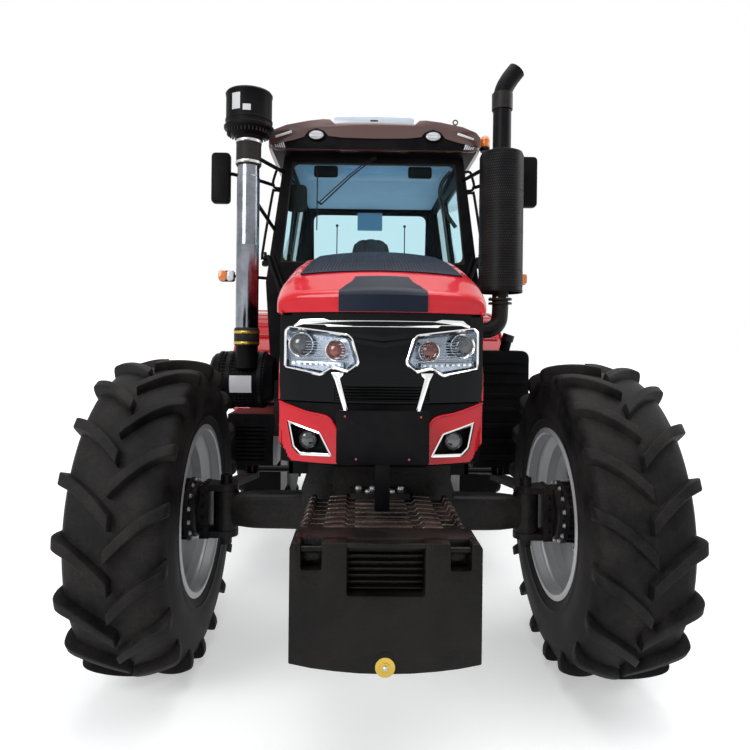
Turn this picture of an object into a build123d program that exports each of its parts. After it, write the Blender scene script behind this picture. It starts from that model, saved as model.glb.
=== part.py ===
from build123d import *
import os

# A four-wheel-drive farm tractor. Millimetres. The tractor faces -Y, +X is its left side, +Z is up.
# Places along the tractor are given as distances behind the front axle and go through aft().

# ---- driving dimensions -------------------------------------------------------------------------
WHEELBASE = 2900.0
WEIGHT_REACH = 1080.0        # front face of the front weights, ahead of the front axle
REAR_OVERHANG = 1000.0       # ball ends of the lower links, behind the rear axle
FRONT_TRACK = 2032.0
REAR_TRACK = 1800.0
FRONT_TYRE_R, FRONT_TYRE_W, FRONT_RIM_R = 717.5, 430.0, 381.0
REAR_TYRE_R, REAR_TYRE_W, REAR_RIM_R = 877.5, 467.0, 505.0
KINGPIN_X = 720.0            # steering axis, from the centre line
SHEET = 20.0                 # bodywork thickness
FIT = 0.05                   # radial running clearance of every turning pin
SEAT_GAP = 0.3               # gap between pieces that rest on one another across a joint
GAP = 6.0                    # clearance round doors and lids

HOOD_HALF = 425.0            # half width of the hood at its lower edge
HOOD_FRONT, HOOD_REAR = -620.0, 1300.0
CAB_FRONT, CAB_REAR = 1400.0, 2950.0
CAB_FLOOR_Z, CAB_WAIST_Z, CAB_TOP_Z = 1150.0, 1950.0, 2840.0
CAB_FLOOR_HALF, CAB_WAIST_HALF, CAB_TOP_HALF = 700.0, 755.0, 632.0
CAB_REAR_HALF = 615.0        # half width of the lower cab, between the rear wheels
CAB_STEP_Y = 1930.0          # where the lower cab narrows to pass between the rear wheels
CAB_WALL = 40.0
ROOF_HALF, ROOF_FRONT, ROOF_REAR, ROOF_THICK = 735.0, 1220.0, 3020.0, 215.0
HATCH_HALF, HATCH_FRONT, HATCH_REAR, HATCH_THICK = 290.0, 1480.0, 2080.0, 42.0
GLASS = 8.0

FRONT_AXLE_Y = WEIGHT_REACH - (WEIGHT_REACH + WHEELBASE + REAR_OVERHANG) / 2
REAR_TOP_Z = 2 * REAR_TYRE_R


def aft(distance):
    """Y of a place that lies a distance behind the front axle."""
    return FRONT_AXLE_Y + distance


def block(x, y, z):
    """Box between pairs of limits, with y measured behind the front axle."""
    centre = Pos((x[0] + x[1]) / 2, aft((y[0] + y[1]) / 2), (z[0] + z[1]) / 2)
    return centre * Box(abs(x[1] - x[0]), abs(y[1] - y[0]), abs(z[1] - z[0]))


def rod_x(radius, x, y, z):
    """Cylinder along X between two limits."""
    return Pos((x[0] + x[1]) / 2, aft(y), z) * Rot(0, 90, 0) * Cylinder(radius, abs(x[1] - x[0]))


def rod_y(radius, x, y, z):
    """Cylinder along Y between two limits."""
    return Pos(x, aft((y[0] + y[1]) / 2), z) * Rot(90, 0, 0) * Cylinder(radius, abs(y[1] - y[0]))


def rod_z(radius, x, y, z):
    """Cylinder along Z between two limits."""
    return Pos(x, aft(y), (z[0] + z[1]) / 2) * Cylinder(radius, abs(z[1] - z[0]))


def link(radius, start, end):
    """Round bar between two points, each given as x, distance behind the front axle, z."""
    first = Vector(start[0], aft(start[1]), start[2])
    run = Vector(end[0], aft(end[1]), end[2]) - first
    return Plane(first + run / 2, z_dir=run) * Cylinder(radius, run.length)


def slab_x(outline, x):
    """Side-view outline of (distance behind the front axle, z) points, extruded across x."""
    face = Plane.YZ.offset(x[0]) * Polygon(*[(aft(y), z) for y, z in outline], align=None)
    return extrude(face, amount=x[1] - x[0], dir=(1, 0, 0))


def slab_y(outline, y):
    """Front-view outline of (x, z) points, extruded along the tractor."""
    face = Plane.XZ.offset(-aft(y[0])) * Polygon(*outline, align=None)
    return extrude(face, amount=y[1] - y[0], dir=(0, 1, 0))


def fuse(pieces):
    """One solid of pieces that overlap."""
    whole = pieces[0]
    for piece in pieces[1:]:
        whole += piece
    return whole


def mirrored(shape):
    """The same piece on the other side."""
    return mirror(shape, about=Plane.YZ)


def both(shape):
    """The piece and its mirror image in one node."""
    return Compound(list(shape.solids()) + list(mirrored(shape).solids()))


def save(name, shape):
    """Write one node."""
    export_step(Compound(list(shape.solids())), f"parts/{name}.step")


# ---- wheels -------------------------------------------------------------------------------------
RIM_WALL = 12.0
RIM_LIP = 22.0
BEAD_SHARE_W = 0.44          # half distance between beads over tyre width
HUB_FACE_IN = 30.0           # wheel disc, inboard of the tyre's middle
DISC_THICK = 18.0
FRONT_HUB_R, REAR_HUB_R = 150.0, 170.0
FRONT_SPINDLE_R, REAR_SPINDLE_R = 55.0, 60.0
HUB_REACH = 130.0            # drum of the hub, inboard of the disc
HUB_CAP = 75.0               # cap of the hub, outboard of the disc


def spin_x(profile, x, z, y):
    """Turn an (across, radius) profile about a wheel's axle."""
    face = Plane.XY * Polygon(*profile, align=None)
    return Pos(x, aft(y), z) * revolve(face, Axis.X)


def tyre(outer, width, bead, x, y):
    """Hollow round tyre with rounded shoulders, standing on the ground."""
    half = width / 2
    bead_half = BEAD_SHARE_W * width - 8
    wall = 26.0
    section = [(-bead_half, bead), (-bead_half, bead + RIM_LIP + 2), (-0.49 * width, bead + 70),
               (-half, (bead + outer) / 2 - 15),
               (-0.475 * width, outer - 34), (-0.30 * width, outer - 7), (0, outer)]
    hollow = [(-bead_half + wall, bead), (-half + wall, bead + 70), (-half + wall, outer - 100),
              (-0.38 * width, outer - 62), (0, outer - 48)]
    right = [(-a, r) for a, r in reversed(section[:-1])]
    inner = [(-a, r) for a, r in hollow[:-1]] + list(reversed(hollow))
    return spin_x(section + right + inner, x, outer, y)


def rim(radius, width, outer, hub_r, spindle_r, x, y):
    """Rolled rim with its disc and the hub drum that turns with it."""
    half = BEAD_SHARE_W * width
    drop = 34.0
    barrel = [(-half, radius + RIM_LIP), (-half + 8, radius + RIM_LIP), (-half + 8, radius), (-half + 70, radius),
              (-half + 90, radius - drop), (half - 90, radius - drop), (half - 70, radius),
              (half - 8, radius), (half - 8, radius + RIM_LIP), (half, radius + RIM_LIP), (half, radius - RIM_WALL),
              (half - 76, radius - RIM_WALL), (half - 96, radius - drop - RIM_WALL),
              (-half + 96, radius - drop - RIM_WALL), (-half + 76, radius - RIM_WALL),
              (-half, radius - RIM_WALL)]
    inboard = -HUB_FACE_IN - DISC_THICK
    disc = [(inboard, spindle_r + FIT), (inboard, radius - drop - RIM_WALL / 2),
            (-HUB_FACE_IN, radius - drop - RIM_WALL / 2), (-HUB_FACE_IN, spindle_r + FIT)]
    drum = [(inboard - HUB_REACH, spindle_r + FIT), (inboard - HUB_REACH, hub_r - 20),
            (inboard - HUB_REACH + 30, hub_r), (inboard, hub_r), (inboard, spindle_r + FIT)]
    cap = [(-HUB_FACE_IN, 0), (-HUB_FACE_IN, hub_r), (-HUB_FACE_IN + HUB_CAP - 25, hub_r),
           (-HUB_FACE_IN + HUB_CAP, hub_r - 40), (-HUB_FACE_IN + HUB_CAP, 0)]
    turned = [spin_x(profile, x, outer, y) for profile in (barrel, disc, drum, cap)]
    return fuse(turned)


# name, radius, width, rim radius, hub radius, spindle radius, track, distance behind the front axle
WHEELS = [
    ("front", FRONT_TYRE_R, FRONT_TYRE_W, FRONT_RIM_R, FRONT_HUB_R, FRONT_SPINDLE_R, FRONT_TRACK, 0.0),
    ("rear", REAR_TYRE_R, REAR_TYRE_W, REAR_RIM_R, REAR_HUB_R, REAR_SPINDLE_R, REAR_TRACK, WHEELBASE),
]


def wheels():
    """Rims and tyres of both axles."""
    for name, outer, width, bead, hub_r, spindle_r, track, y in WHEELS:
        rubber = tyre(outer, width, bead, track / 2, y)
        steel = rim(bead, width, outer, hub_r, spindle_r, track / 2, y)
        for side, turn in (("left", lambda s: s), ("right", mirrored)):
            save(f"{name}_tyre_{side}", turn(rubber))
            save(f"{name}_rim_{side}", turn(steel))


# ---- front axle and steering --------------------------------------------------------------------
AXLE_Z = FRONT_TYRE_R
BEAM_H, BEAM_D = 180.0, 150.0
KINGPIN_R, KINGPIN_REACH = 28.0, 20.0
AXLE_END_R = 60.0
EAR = 30.0                   # thickness of the knuckle's upper and lower ears
EAR_Z = BEAM_H / 2 + 5
DIFF_R = 165.0
PIVOT_TOP = AXLE_Z + 75
ARM_Y, ARM_X = 260.0, 640.0  # pin of the steering arm
STEER_ROD_R, STEER_EYE_HALF, CYL_R, CYL_HALF = 16.0, 18.0, 46.0, 250.0
STEER_Z = AXLE_Z + EAR_Z + EAR + SEAT_GAP + STEER_EYE_HALF
HUB_INBOARD = HUB_FACE_IN + DISC_THICK + HUB_REACH


def front_axle():
    """Driven beam with its differential, pivot lugs and kingpins."""
    half_z = BEAM_H / 2
    reach = EAR_Z + EAR + KINGPIN_REACH
    beam_end = KINGPIN_X - AXLE_END_R - 10
    pieces = [block((-beam_end, beam_end), (-BEAM_D / 2, BEAM_D / 2), (AXLE_Z - half_z, AXLE_Z + half_z)),
              block((-KINGPIN_X, KINGPIN_X), (-50, 50), (AXLE_Z - half_z + 15, AXLE_Z + half_z - 15)),
              rod_x(DIFF_R, (-130, 130), 0, AXLE_Z),
              block((-80, 80), (-270, 206), (AXLE_Z - 75, PIVOT_TOP))]
    for s in (-1, 1):
        z = (AXLE_Z - EAR_Z + SEAT_GAP, AXLE_Z + EAR_Z - SEAT_GAP)
        pieces += [rod_z(AXLE_END_R, s * KINGPIN_X, 0, z),
                   rod_z(KINGPIN_R, s * KINGPIN_X, 0, (AXLE_Z - reach, AXLE_Z + reach))]
    save("front_axle", fuse(pieces))


def steering_gear():
    """Double-ended steering cylinder on the beam, and the rods it pushes."""
    barrel = rod_x(CYL_R, (-CYL_HALF, CYL_HALF), ARM_Y, STEER_Z)
    feet = [block((s * 190, s * 235), (BEAM_D / 2, ARM_Y), (AXLE_Z, STEER_Z - 20)) for s in (-1, 1)]
    bore = rod_x(STEER_ROD_R + FIT, (-CYL_HALF - 1, CYL_HALF + 1), ARM_Y, STEER_Z)
    save("steering_cylinder", fuse([barrel] + feet) - bore)
    bar = rod_x(STEER_ROD_R, (-ARM_X, ARM_X), ARM_Y, STEER_Z)
    eyes = [rod_z(34, s * ARM_X, ARM_Y, (STEER_Z - STEER_EYE_HALF, STEER_Z + STEER_EYE_HALF)) for s in (-1, 1)]
    save("steering_rods", fuse([bar] + eyes))


def knuckles():
    """Yoke round the axle end with its steering arm and wheel spindle."""
    web_in = KINGPIN_X + AXLE_END_R + 8
    web_out = FRONT_TRACK / 2 - HUB_INBOARD - 6
    web = block((web_in, web_out), (-70, 70), (AXLE_Z - EAR_Z - EAR, AXLE_Z + EAR_Z + EAR))
    ears = []
    for low in (-EAR_Z - EAR, EAR_Z):
        z = (AXLE_Z + low, AXLE_Z + low + EAR)
        ears += [block((KINGPIN_X, web_in + 1), (-58, 58), z), rod_z(58, KINGPIN_X, 0, z)]
    top = (AXLE_Z + EAR_Z, AXLE_Z + EAR_Z + EAR)
    arm = Pos(0, 0, top[0]) * extrude(Polygon(
        (KINGPIN_X - 40, aft(30)), (KINGPIN_X + 40, aft(30)), (ARM_X + 34, aft(ARM_Y)),
        (ARM_X - 34, aft(ARM_Y)), align=None), amount=EAR)
    boss = rod_z(34, ARM_X, ARM_Y, top)
    spindle = rod_x(FRONT_SPINDLE_R, (web_in, FRONT_TRACK / 2 - HUB_FACE_IN - SEAT_GAP), 0, AXLE_Z)
    collar = rod_x(80, (web_out - 1, FRONT_TRACK / 2 - HUB_INBOARD - SEAT_GAP), 0, AXLE_Z)
    whole = fuse([web] + ears + [arm, boss, spindle, collar])
    bore = rod_z(KINGPIN_R + FIT, KINGPIN_X, 0, (0, 2 * AXLE_Z))
    whole -= bore
    save("knuckle_left", whole)
    save("knuckle_right", mirrored(whole))


# ---- chassis ------------------------------------------------------------------------------------
RAIL_X, RAIL_W = 170.0, 50.0
RAIL_Z = (920.0, 1020.0)
RAIL_FRONT, ENGINE_FRONT, ENGINE_REAR = -340.0, -60.0, 1150.0
ENGINE_HALF, ENGINE_TOP = 290.0, 1560.0
GEARBOX_HALF, GEARBOX_Z, GEARBOX_REAR = 260.0, (520.0, 1090.0), WHEELBASE + 250
TRUMPET_R, TRUMPET_X = 135.0, REAR_TRACK / 2 - HUB_INBOARD
APRON_Z = (1040.0, 1280.0)
WEIGHT_HALF, WEIGHT_TOP, WEIGHT_LOW, WEIGHT_BELLY = 300.0, 895.0, 540.0, 510.0
SLAB_PITCH, SLAB_THICK, SLABS = 62.0, 50.0, 8
PIN_BOSS = 12.0


def frame_rails():
    """Two rails with the saddles that carry the front axle and the stand behind the nose."""
    rails = [block((s * RAIL_X - RAIL_W / 2, s * RAIL_X + RAIL_W / 2), (RAIL_FRONT, ENGINE_REAR), RAIL_Z)
             for s in (-1, 1)]
    saddles = [block((-RAIL_X, RAIL_X), y, (PIVOT_TOP, RAIL_Z[1] - 20)) for y in ((-250, -175), (170, 205))]
    legs = [block((s * 90, s * (RAIL_X + RAIL_W / 2)), (-250, -175), (AXLE_Z + 60, RAIL_Z[0] + 20))
            for s in (-1, 1)]
    stand = block((-300, 300), (RAIL_FRONT - 30, RAIL_FRONT), (RAIL_Z[0], APRON_Z[1]))
    arms = []
    for s in (-1, 1):
        y, z = (1020, 1065), (RAIL_Z[0], RAIL_Z[1] - 50)
        arms += [block((s * RAIL_X, s * TANK_X[0]), y, z),
                 block((s * (TANK_X[0] - 30), s * TANK_X[0]), y, (z[0], CLEANER_Z))]
    save("frame_rails", fuse(rails + saddles + legs + [stand, weight_bracket()] + arms))


def engine_and_transmission():
    """Engine as one plain block, and the gearbox with the rear axle's centre."""
    engine = block((-ENGINE_HALF, ENGINE_HALF), (ENGINE_FRONT, ENGINE_REAR), (RAIL_Z[1], ENGINE_TOP))
    sump = block((-RAIL_X + RAIL_W / 2 + 5, RAIL_X - RAIL_W / 2 - 5), (320, ENGINE_REAR),
                 (RAIL_Z[0] - 100, RAIL_Z[1]))
    save("engine_block", fuse([engine, sump]))
    case = block((-GEARBOX_HALF, GEARBOX_HALF), (ENGINE_REAR, GEARBOX_REAR), GEARBOX_Z)
    lift = block((-200, 200), (WHEELBASE - 250, GEARBOX_REAR), (GEARBOX_Z[1], CAB_FLOOR_Z - GAP))
    save("transmission", fuse([case, lift, rear_carriers(), pto_stub()]))
    trumpets = []
    for s in (-1, 1):
        tube = rod_x(TRUMPET_R, (s * GEARBOX_HALF, s * (TRUMPET_X - SEAT_GAP)), WHEELBASE, REAR_TYRE_R)
        stub = rod_x(REAR_SPINDLE_R, (s * TRUMPET_X - s, s * (REAR_TRACK / 2 - HUB_FACE_IN - SEAT_GAP)),
                     WHEELBASE, REAR_TYRE_R)
        trumpets.append(tube + stub)
    save("rear_axle", Compound([t.solid() for t in trumpets]))


def front_weights():
    """Face weight with handle recesses, and the row of slabs behind it, on one carrier."""
    front = -WEIGHT_REACH + PIN_BOSS
    rear = front + 180
    outline = [(-WEIGHT_HALF, WEIGHT_TOP), (-WEIGHT_HALF, WEIGHT_LOW), (-170, WEIGHT_BELLY + 8),
               (0, WEIGHT_BELLY), (170, WEIGHT_BELLY + 8), (WEIGHT_HALF, WEIGHT_LOW),
               (WEIGHT_HALF, WEIGHT_TOP)]
    face = slab_y(outline, (front, rear))
    for x in (-265, 200):
        face -= block((x, x + 65), (front - 1, front + 60), (WEIGHT_TOP - 85, WEIGHT_TOP + 1))
    face -= block((-122, 122), (front - 1, front + 70), (WEIGHT_TOP - 165, WEIGHT_TOP - 12))
    slabs = [block((-WEIGHT_HALF, WEIGHT_HALF), (rear + i * SLAB_PITCH + 12, rear + (i + 1) * SLAB_PITCH),
                   (WEIGHT_LOW + 60, WEIGHT_TOP)) for i in range(SLABS)]
    core = block((-150, 150), (rear - 1, rear + SLABS * SLAB_PITCH), (WEIGHT_LOW + 90, WEIGHT_TOP - 25))
    boss = rod_y(17, 0, (-WEIGHT_REACH, front + 1), WEIGHT_BELLY + 20)
    save("front_weights", fuse([face, core] + slabs + [boss]))


def weight_bracket():
    """Carrier between the rails and the weights."""
    weights_end = -WEIGHT_REACH + PIN_BOSS + 180 + SLABS * SLAB_PITCH
    arm = block((-RAIL_X - RAIL_W / 2, RAIL_X + RAIL_W / 2), (weights_end, RAIL_FRONT - 30),
                (WEIGHT_LOW + 120, RAIL_Z[1] - 20))
    hook = block((-120, 120), (weights_end - 120, weights_end + 1), (WEIGHT_TOP, WEIGHT_TOP + 22))
    return fuse([arm, hook])


BOARD_Y, BOARD_HALF, BOARD_Z = -700.0, 172.0, (1068.0, 1266.0)


def plate_board():
    """Blank number board on its post."""
    board = block((-BOARD_HALF, BOARD_HALF), (BOARD_Y, BOARD_Y + 10), BOARD_Z)
    post = block((-28, 28), (BOARD_Y + 10, BOARD_Y + 35), (WEIGHT_TOP, BOARD_Z[1] - 60))
    save("plate_board", fuse([board, post]))


# ---- nose and hood ------------------------------------------------------------------------------
NOSE_TIP, NOSE_SIDE, NOSE_BACK, NOSE_HALF = -600.0, -470.0, -385.0, HOOD_HALF - 13
HOOD_LOW = 1634.0            # lower edge of the hood over the nose
GRILLE_Z = (APRON_Z[1] + GAP, HOOD_LOW)
LAMP_X, LAMP_Z, LAMP_PROUD = (80.0, NOSE_HALF + 1), (1380.0, 1600.0), 8.0
PANEL_X = (NOSE_HALF - 23, NOSE_HALF - 9)
STACK_X, STACK_Y = 785.0, 870.0
ELBOW_Z, ELBOW_R = 1612.0, 52.0
# distance behind the front axle, half width, lower edge z, shoulder z, crown z
HOOD_SECTIONS = [
    (HOOD_FRONT, HOOD_HALF - 60, HOOD_LOW, 1655, 1690),
    (-545, HOOD_HALF - 5, HOOD_LOW, 1685, 1742),
    (-400, HOOD_HALF + 5, HOOD_LOW, 1722, 1812),
    (-100, HOOD_HALF + 10, 1645, 1750, 1912),
    (250, HOOD_HALF + 12, 1655, 1780, 1992),
    (600, HOOD_HALF + 13, 1668, 1800, 2015),
    (HOOD_REAR, HOOD_HALF + 15, 1710, 1830, 2040),
]


def nose_plan(proud=0.0):
    """Plan of the nose: a bowed front with short straight sides."""
    tip, side = aft(NOSE_TIP) - proud, aft(NOSE_SIDE) - proud
    half, back = NOSE_HALF + proud, aft(NOSE_BACK)
    with BuildSketch() as plan:
        with BuildLine():
            ThreePointArc((-half, side), (0, tip), (half, side))
            Polyline((half, side), (half, back), (-half, back), (-half, side))
        make_face()
    return plan.sketch


def nose_block(z, proud=0.0):
    """Part of the nose between two heights."""
    return Pos(0, 0, z[0]) * extrude(nose_plan(proud), amount=z[1] - z[0])


def nose():
    """Black grille with the two lamp units, and the apron below them."""
    hollow = block((-NOSE_HALF + 50, NOSE_HALF - 50), (NOSE_SIDE + 20, NOSE_BACK + 1), (0, 3000))
    lamp_room = block(LAMP_X, (NOSE_TIP - 50, NOSE_SIDE - 12), LAMP_Z)
    lamp = nose_block(LAMP_Z, LAMP_PROUD) & lamp_room
    grille = nose_block(GRILLE_Z) - hollow - lamp_room - mirrored(lamp_room)
    save("grille", grille)
    save("headlights", both(lamp))
    apron = nose_block(APRON_Z) - hollow
    shelf = block((-250, 250), (NOSE_SIDE, RAIL_FRONT - 30), (APRON_Z[0], APRON_Z[0] + 30))
    save("front_apron", fuse([apron, shelf]))


def hood_wire(y, half, low, side, top, inset=0.0):
    """Cross-section of the hood: straight sides, round shoulders, bowed crown."""
    half, top = half - inset, top - inset
    rise = top - side
    shoulder = (0.82 * half, side + 0.80 * rise)
    middle = (0.945 * half, side + 0.50 * rise)
    low = low - (400 if inset else 0)
    with BuildSketch(Plane.XZ.offset(-aft(y))) as face:
        with BuildLine():
            Polyline((-half, side), (-half, low), (half, low), (half, side))
            ThreePointArc((half, side), middle, shoulder)
            ThreePointArc(shoulder, (0, top), (-shoulder[0], shoulder[1]))
            ThreePointArc((-shoulder[0], shoulder[1]), (-middle[0], middle[1]), (-half, side))
        make_face()
    return face.sketch


def hood():
    """Lifting lid: a lofted shell, open below, with its hinge lug at the rear."""
    outer = loft([hood_wire(*row) for row in HOOD_SECTIONS], ruled=True)
    inner_rows = [(HOOD_FRONT + SHEET, *HOOD_SECTIONS[0][1:])] + HOOD_SECTIONS[1:-1]
    inner_rows.append((HOOD_REAR + 1, *HOOD_SECTIONS[-1][1:]))
    inner = loft([hood_wire(*row, inset=SHEET) for row in inner_rows], ruled=True)
    shell = outer - inner
    lugs = [block((x, x + 30), (HOOD_REAR - 90, HOOD_REAR - 20), (HINGE_Z - 25, 2012)) for x in (-215, 185)]
    bore = rod_x(12 + FIT, (-300, 300), HINGE_Y, HINGE_Z)
    save("hood_shell", fuse([shell] + lugs) - bore)


HINGE_Y, HINGE_Z, HINGE_R = HOOD_REAR - 65, 1925.0, 12.0


def hood_hinge():
    """Two pins and their arms on the front wall of the cab."""
    arms = []
    for s in (-1, 1):
        x = (s * 135, s * 165)
        arms += [block(x, (HINGE_Y - 22, HINGE_Y + 22), (1800, HINGE_Z + 20)),
                 block(x, (HINGE_Y - 22, CAB_FRONT), (1800, 1860))]
        arms.append(rod_x(HINGE_R, (s * 130, s * 222), HINGE_Y, HINGE_Z))
    return fuse(arms)


def side_panels():
    """Fixed panels below the hood, notched for the exhaust elbow."""
    outline = [(NOSE_BACK + 15, APRON_Z[0]), (HOOD_REAR - 10, APRON_Z[0]), (HOOD_REAR - 10, 1695),
               (NOSE_BACK + 15, 1622)]
    panel = slab_x(outline, PANEL_X)
    notch = block((PANEL_X[0] - 1, PANEL_X[1] + 1), (STACK_Y - 75, STACK_Y + 75), (ELBOW_Z - 65, 1800))
    feet = []
    for y in ((-300, -250), (1070, 1120)):
        feet += [block((RAIL_X + RAIL_W / 2, PANEL_X[0] + 1), y, (RAIL_Z[0] + 30, RAIL_Z[1] - 10)),
                 block((PANEL_X[0] - 20, PANEL_X[0] + 1), y, (RAIL_Z[0] + 30, APRON_Z[0] + 20))]
    save("side_panels", both(fuse([panel - notch] + feet)))


# ---- cab ----------------------------------------------------------------------------------------
LEDGE_Z = REAR_TOP_Z + 75
DOOR_GAP, DOOR_INSET = 16.0, 10.0
DOOR_FRONT, DOOR_REAR, DOOR_LOW_REAR = 1475.0, 2330.0, 1860.0
DOOR_LOW, DOOR_STEP, DOOR_TOP = 1215.0, 1900.0, 2785.0
DOOR_FRAME = 62.0
DOOR_HINGE_X, DOOR_HINGE_Y, DOOR_PIN_R = CAB_WAIST_HALF + 15, DOOR_FRONT - 12, 10.0
DOOR_HINGE_ZS = (1400.0, 2120.0)
GLASS_IN = 14.0


def cab_profile(inset):
    """Front view of the cab's side walls, widest at the waist."""
    right = [(CAB_FLOOR_HALF - inset, CAB_FLOOR_Z), (CAB_WAIST_HALF - inset, CAB_WAIST_Z),
             (CAB_TOP_HALF - inset, CAB_TOP_Z)]
    return right + [(-x, z) for x, z in reversed(right)]


def cab_solid(inset):
    """Everything inside a surface that lies a distance in from the cab's outside."""
    upper = slab_y(cab_profile(inset), (CAB_FRONT + inset, CAB_REAR - inset))
    below = block((-1000, 1000), (CAB_STEP_Y - inset, CAB_REAR), (0, LEDGE_Z + inset))
    half = CAB_REAR_HALF - inset
    lower = block((-half, half), (CAB_FRONT + inset + 100, CAB_REAR - inset), (CAB_FLOOR_Z, LEDGE_Z + inset + 20))
    return (upper - below) + lower


def step_outline(grow):
    """Side view of the door: narrow low part, wide upper part over the rear wheel."""
    front, rear, low_rear = DOOR_FRONT - grow, DOOR_REAR + grow, DOOR_LOW_REAR + grow
    low, step, top = DOOR_LOW - grow, DOOR_STEP - grow, DOOR_TOP + grow
    return [(front, low), (low_rear, low), (low_rear, step), (rear, step), (rear, top), (front, top)]


WINDSCREEN = [(-648, 2098), (648, 2098), (572, 2796), (-572, 2796)]
REAR_GLASS = [(-540, 1580), (540, 1580), (560, 2780), (-560, 2780)]
QUARTER = [(2400, 1905), (2890, 1905), (2890, 2770), (2400, 2770)]


def cab():
    """Cab frame with its openings, floor, fixed glass and doors."""
    shell = cab_solid(0) - cab_solid(CAB_WALL)
    pane = cab_solid(GLASS_IN) - cab_solid(GLASS_IN + GLASS)
    front_cut = slab_y(WINDSCREEN, (CAB_FRONT - 1, CAB_FRONT + CAB_WALL + 1))
    rear_cut = slab_y(REAR_GLASS, (CAB_REAR - CAB_WALL - 1, CAB_REAR + 1))
    quarter_cut = slab_x(QUARTER, (300, 1000))
    door_cut = slab_x(step_outline(DOOR_GAP), (300, 1000))
    frame = shell - front_cut - rear_cut - quarter_cut - mirrored(quarter_cut)
    frame = frame - door_cut - mirrored(door_cut)
    ears = []
    for z in DOOR_HINGE_ZS:
        ears += [block((DOOR_HINGE_X - 90, DOOR_HINGE_X + 15), (CAB_FRONT + 5, DOOR_HINGE_Y - 14), (z - 50, z - 20)),
                 block((DOOR_HINGE_X - 15, DOOR_HINGE_X + 15), (DOOR_HINGE_Y - 15, DOOR_HINGE_Y), (z - 50, z - 20)),
                 rod_z(15, DOOR_HINGE_X, DOOR_HINGE_Y, (z - 50, z - 20)),
                 rod_z(DOOR_PIN_R, DOOR_HINGE_X, DOOR_HINGE_Y, (z - 50, z + 25))]
    ears = fuse(ears) - cab_solid(CAB_WALL / 2)
    save("cab_frame", frame + ears + mirrored(ears) + hood_hinge())
    floor = cab_solid(CAB_WALL) & block((-900, 900), (0, 4000), (CAB_FLOOR_Z, CAB_FLOOR_Z + CAB_WALL))
    mounts = [block((x, x + 100), y, (GEARBOX_Z[1], CAB_FLOOR_Z + 1))
              for x in (-250, 150) for y in ((1480, 1580), (2500, 2600))]
    save("cab_floor", fuse([floor] + mounts))
    screens = [pane & front_cut, pane & rear_cut, pane & quarter_cut, pane & mirrored(quarter_cut)]
    save("cab_glass", Compound([s.solid() for s in screens]))
    doors(pane)


def doors(pane):
    """A door is the part of the cab wall inside its outline, with its window cut."""
    skin = cab_solid(0) - cab_solid(CAB_WALL / 2)
    lining = cab_solid(CAB_WALL / 2) - cab_solid(CAB_WALL)
    window = slab_x(step_outline(-DOOR_FRAME), (300, 1000))
    door = (skin & slab_x(step_outline(0), (300, 1000))) + (lining & slab_x(step_outline(-DOOR_INSET), (300, 1000)))
    door = door - window
    for z in DOOR_HINGE_ZS:
        span = (z - 20 + SEAT_GAP, z + 20)
        lug = fuse([block((DOOR_HINGE_X - 90, DOOR_HINGE_X + 15), (DOOR_FRONT + 8, DOOR_FRONT + 30), span),
                    block((DOOR_HINGE_X - 15, DOOR_HINGE_X + 15), (DOOR_HINGE_Y, DOOR_FRONT + 30), span),
                    rod_z(15, DOOR_HINGE_X, DOOR_HINGE_Y, span)])
        door += lug - cab_solid(CAB_WALL / 2)
    door = door - rod_z(DOOR_PIN_R + FIT, DOOR_HINGE_X, DOOR_HINGE_Y, (0, 3000))
    glass = pane & window
    for side, turn in (("left", lambda s: s), ("right", mirrored)):
        save(f"door_{side}", turn(door))
        save(f"door_glass_{side}", turn(glass))


ROOF_TOP = CAB_TOP_Z + ROOF_THICK
HATCH_HINGE_Y, HATCH_PIN_R = HATCH_REAR + 20, 6.0


def roof():
    """Roof slab with its hatch opening, and the hatch on its rear hinge."""
    slab = block((-ROOF_HALF, ROOF_HALF), (ROOF_FRONT, ROOF_REAR), (CAB_TOP_Z, ROOF_TOP))
    slab = fillet(slab.edges().filter_by(Axis.Z), 90)
    slab = chamfer(slab.edges().group_by(Axis.Z)[-1], 60)
    slab -= block((-HATCH_HALF + 30, HATCH_HALF - 30), (HATCH_FRONT + 30, HATCH_REAR - 30), (CAB_TOP_Z - 1, ROOF_TOP + 1))
    hinge_z = ROOF_TOP + 21
    ears = [block((s * 180, s * 200), (HATCH_HINGE_Y - 12, HATCH_HINGE_Y + 12), (ROOF_TOP - 5, hinge_z + 12))
            for s in (-1, 1)]
    pins = [rod_x(HATCH_PIN_R, (s * 135, s * 200), HATCH_HINGE_Y, hinge_z) for s in (-1, 1)]
    save("cab_roof", fuse([slab] + ears + pins))
    low = ROOF_TOP + SEAT_GAP
    lid = block((-HATCH_HALF, HATCH_HALF), (HATCH_FRONT, HATCH_REAR), (low, low + HATCH_THICK - 12))
    lid = chamfer(lid.edges().group_by(Axis.Z)[-1], 12)
    lugs = [block((s * 140, s * 175), (HATCH_REAR - 5, HATCH_HINGE_Y + 12), (hinge_z - 12, hinge_z + 9))
            for s in (-1, 1)]
    bore = rod_x(HATCH_PIN_R + FIT, (-300, 300), HATCH_HINGE_Y, hinge_z)
    save("roof_hatch", fuse([lid] + lugs) - bore)


# ---- inside the cab -----------------------------------------------------------------------------
DECK_Z = CAB_FLOOR_Z + CAB_WALL
SEAT_Y, CUSHION_Z = 2120.0, (1600.0, 1710.0)
COLUMN_TILT, COLUMN_R = 28.0, 22.0
STEER_Y, STEER_CENTRE_Z, STEER_WHEEL_R = 1800.0, 2050.0, 195.0


def column_place(offset):
    """Place on the steering column's axis, offset from the wheel's centre, turned to the axis."""
    return Pos(0, aft(STEER_Y), STEER_CENTRE_Z) * Rot(-COLUMN_TILT, 0, 0) * Pos(0, 0, offset)


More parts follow.
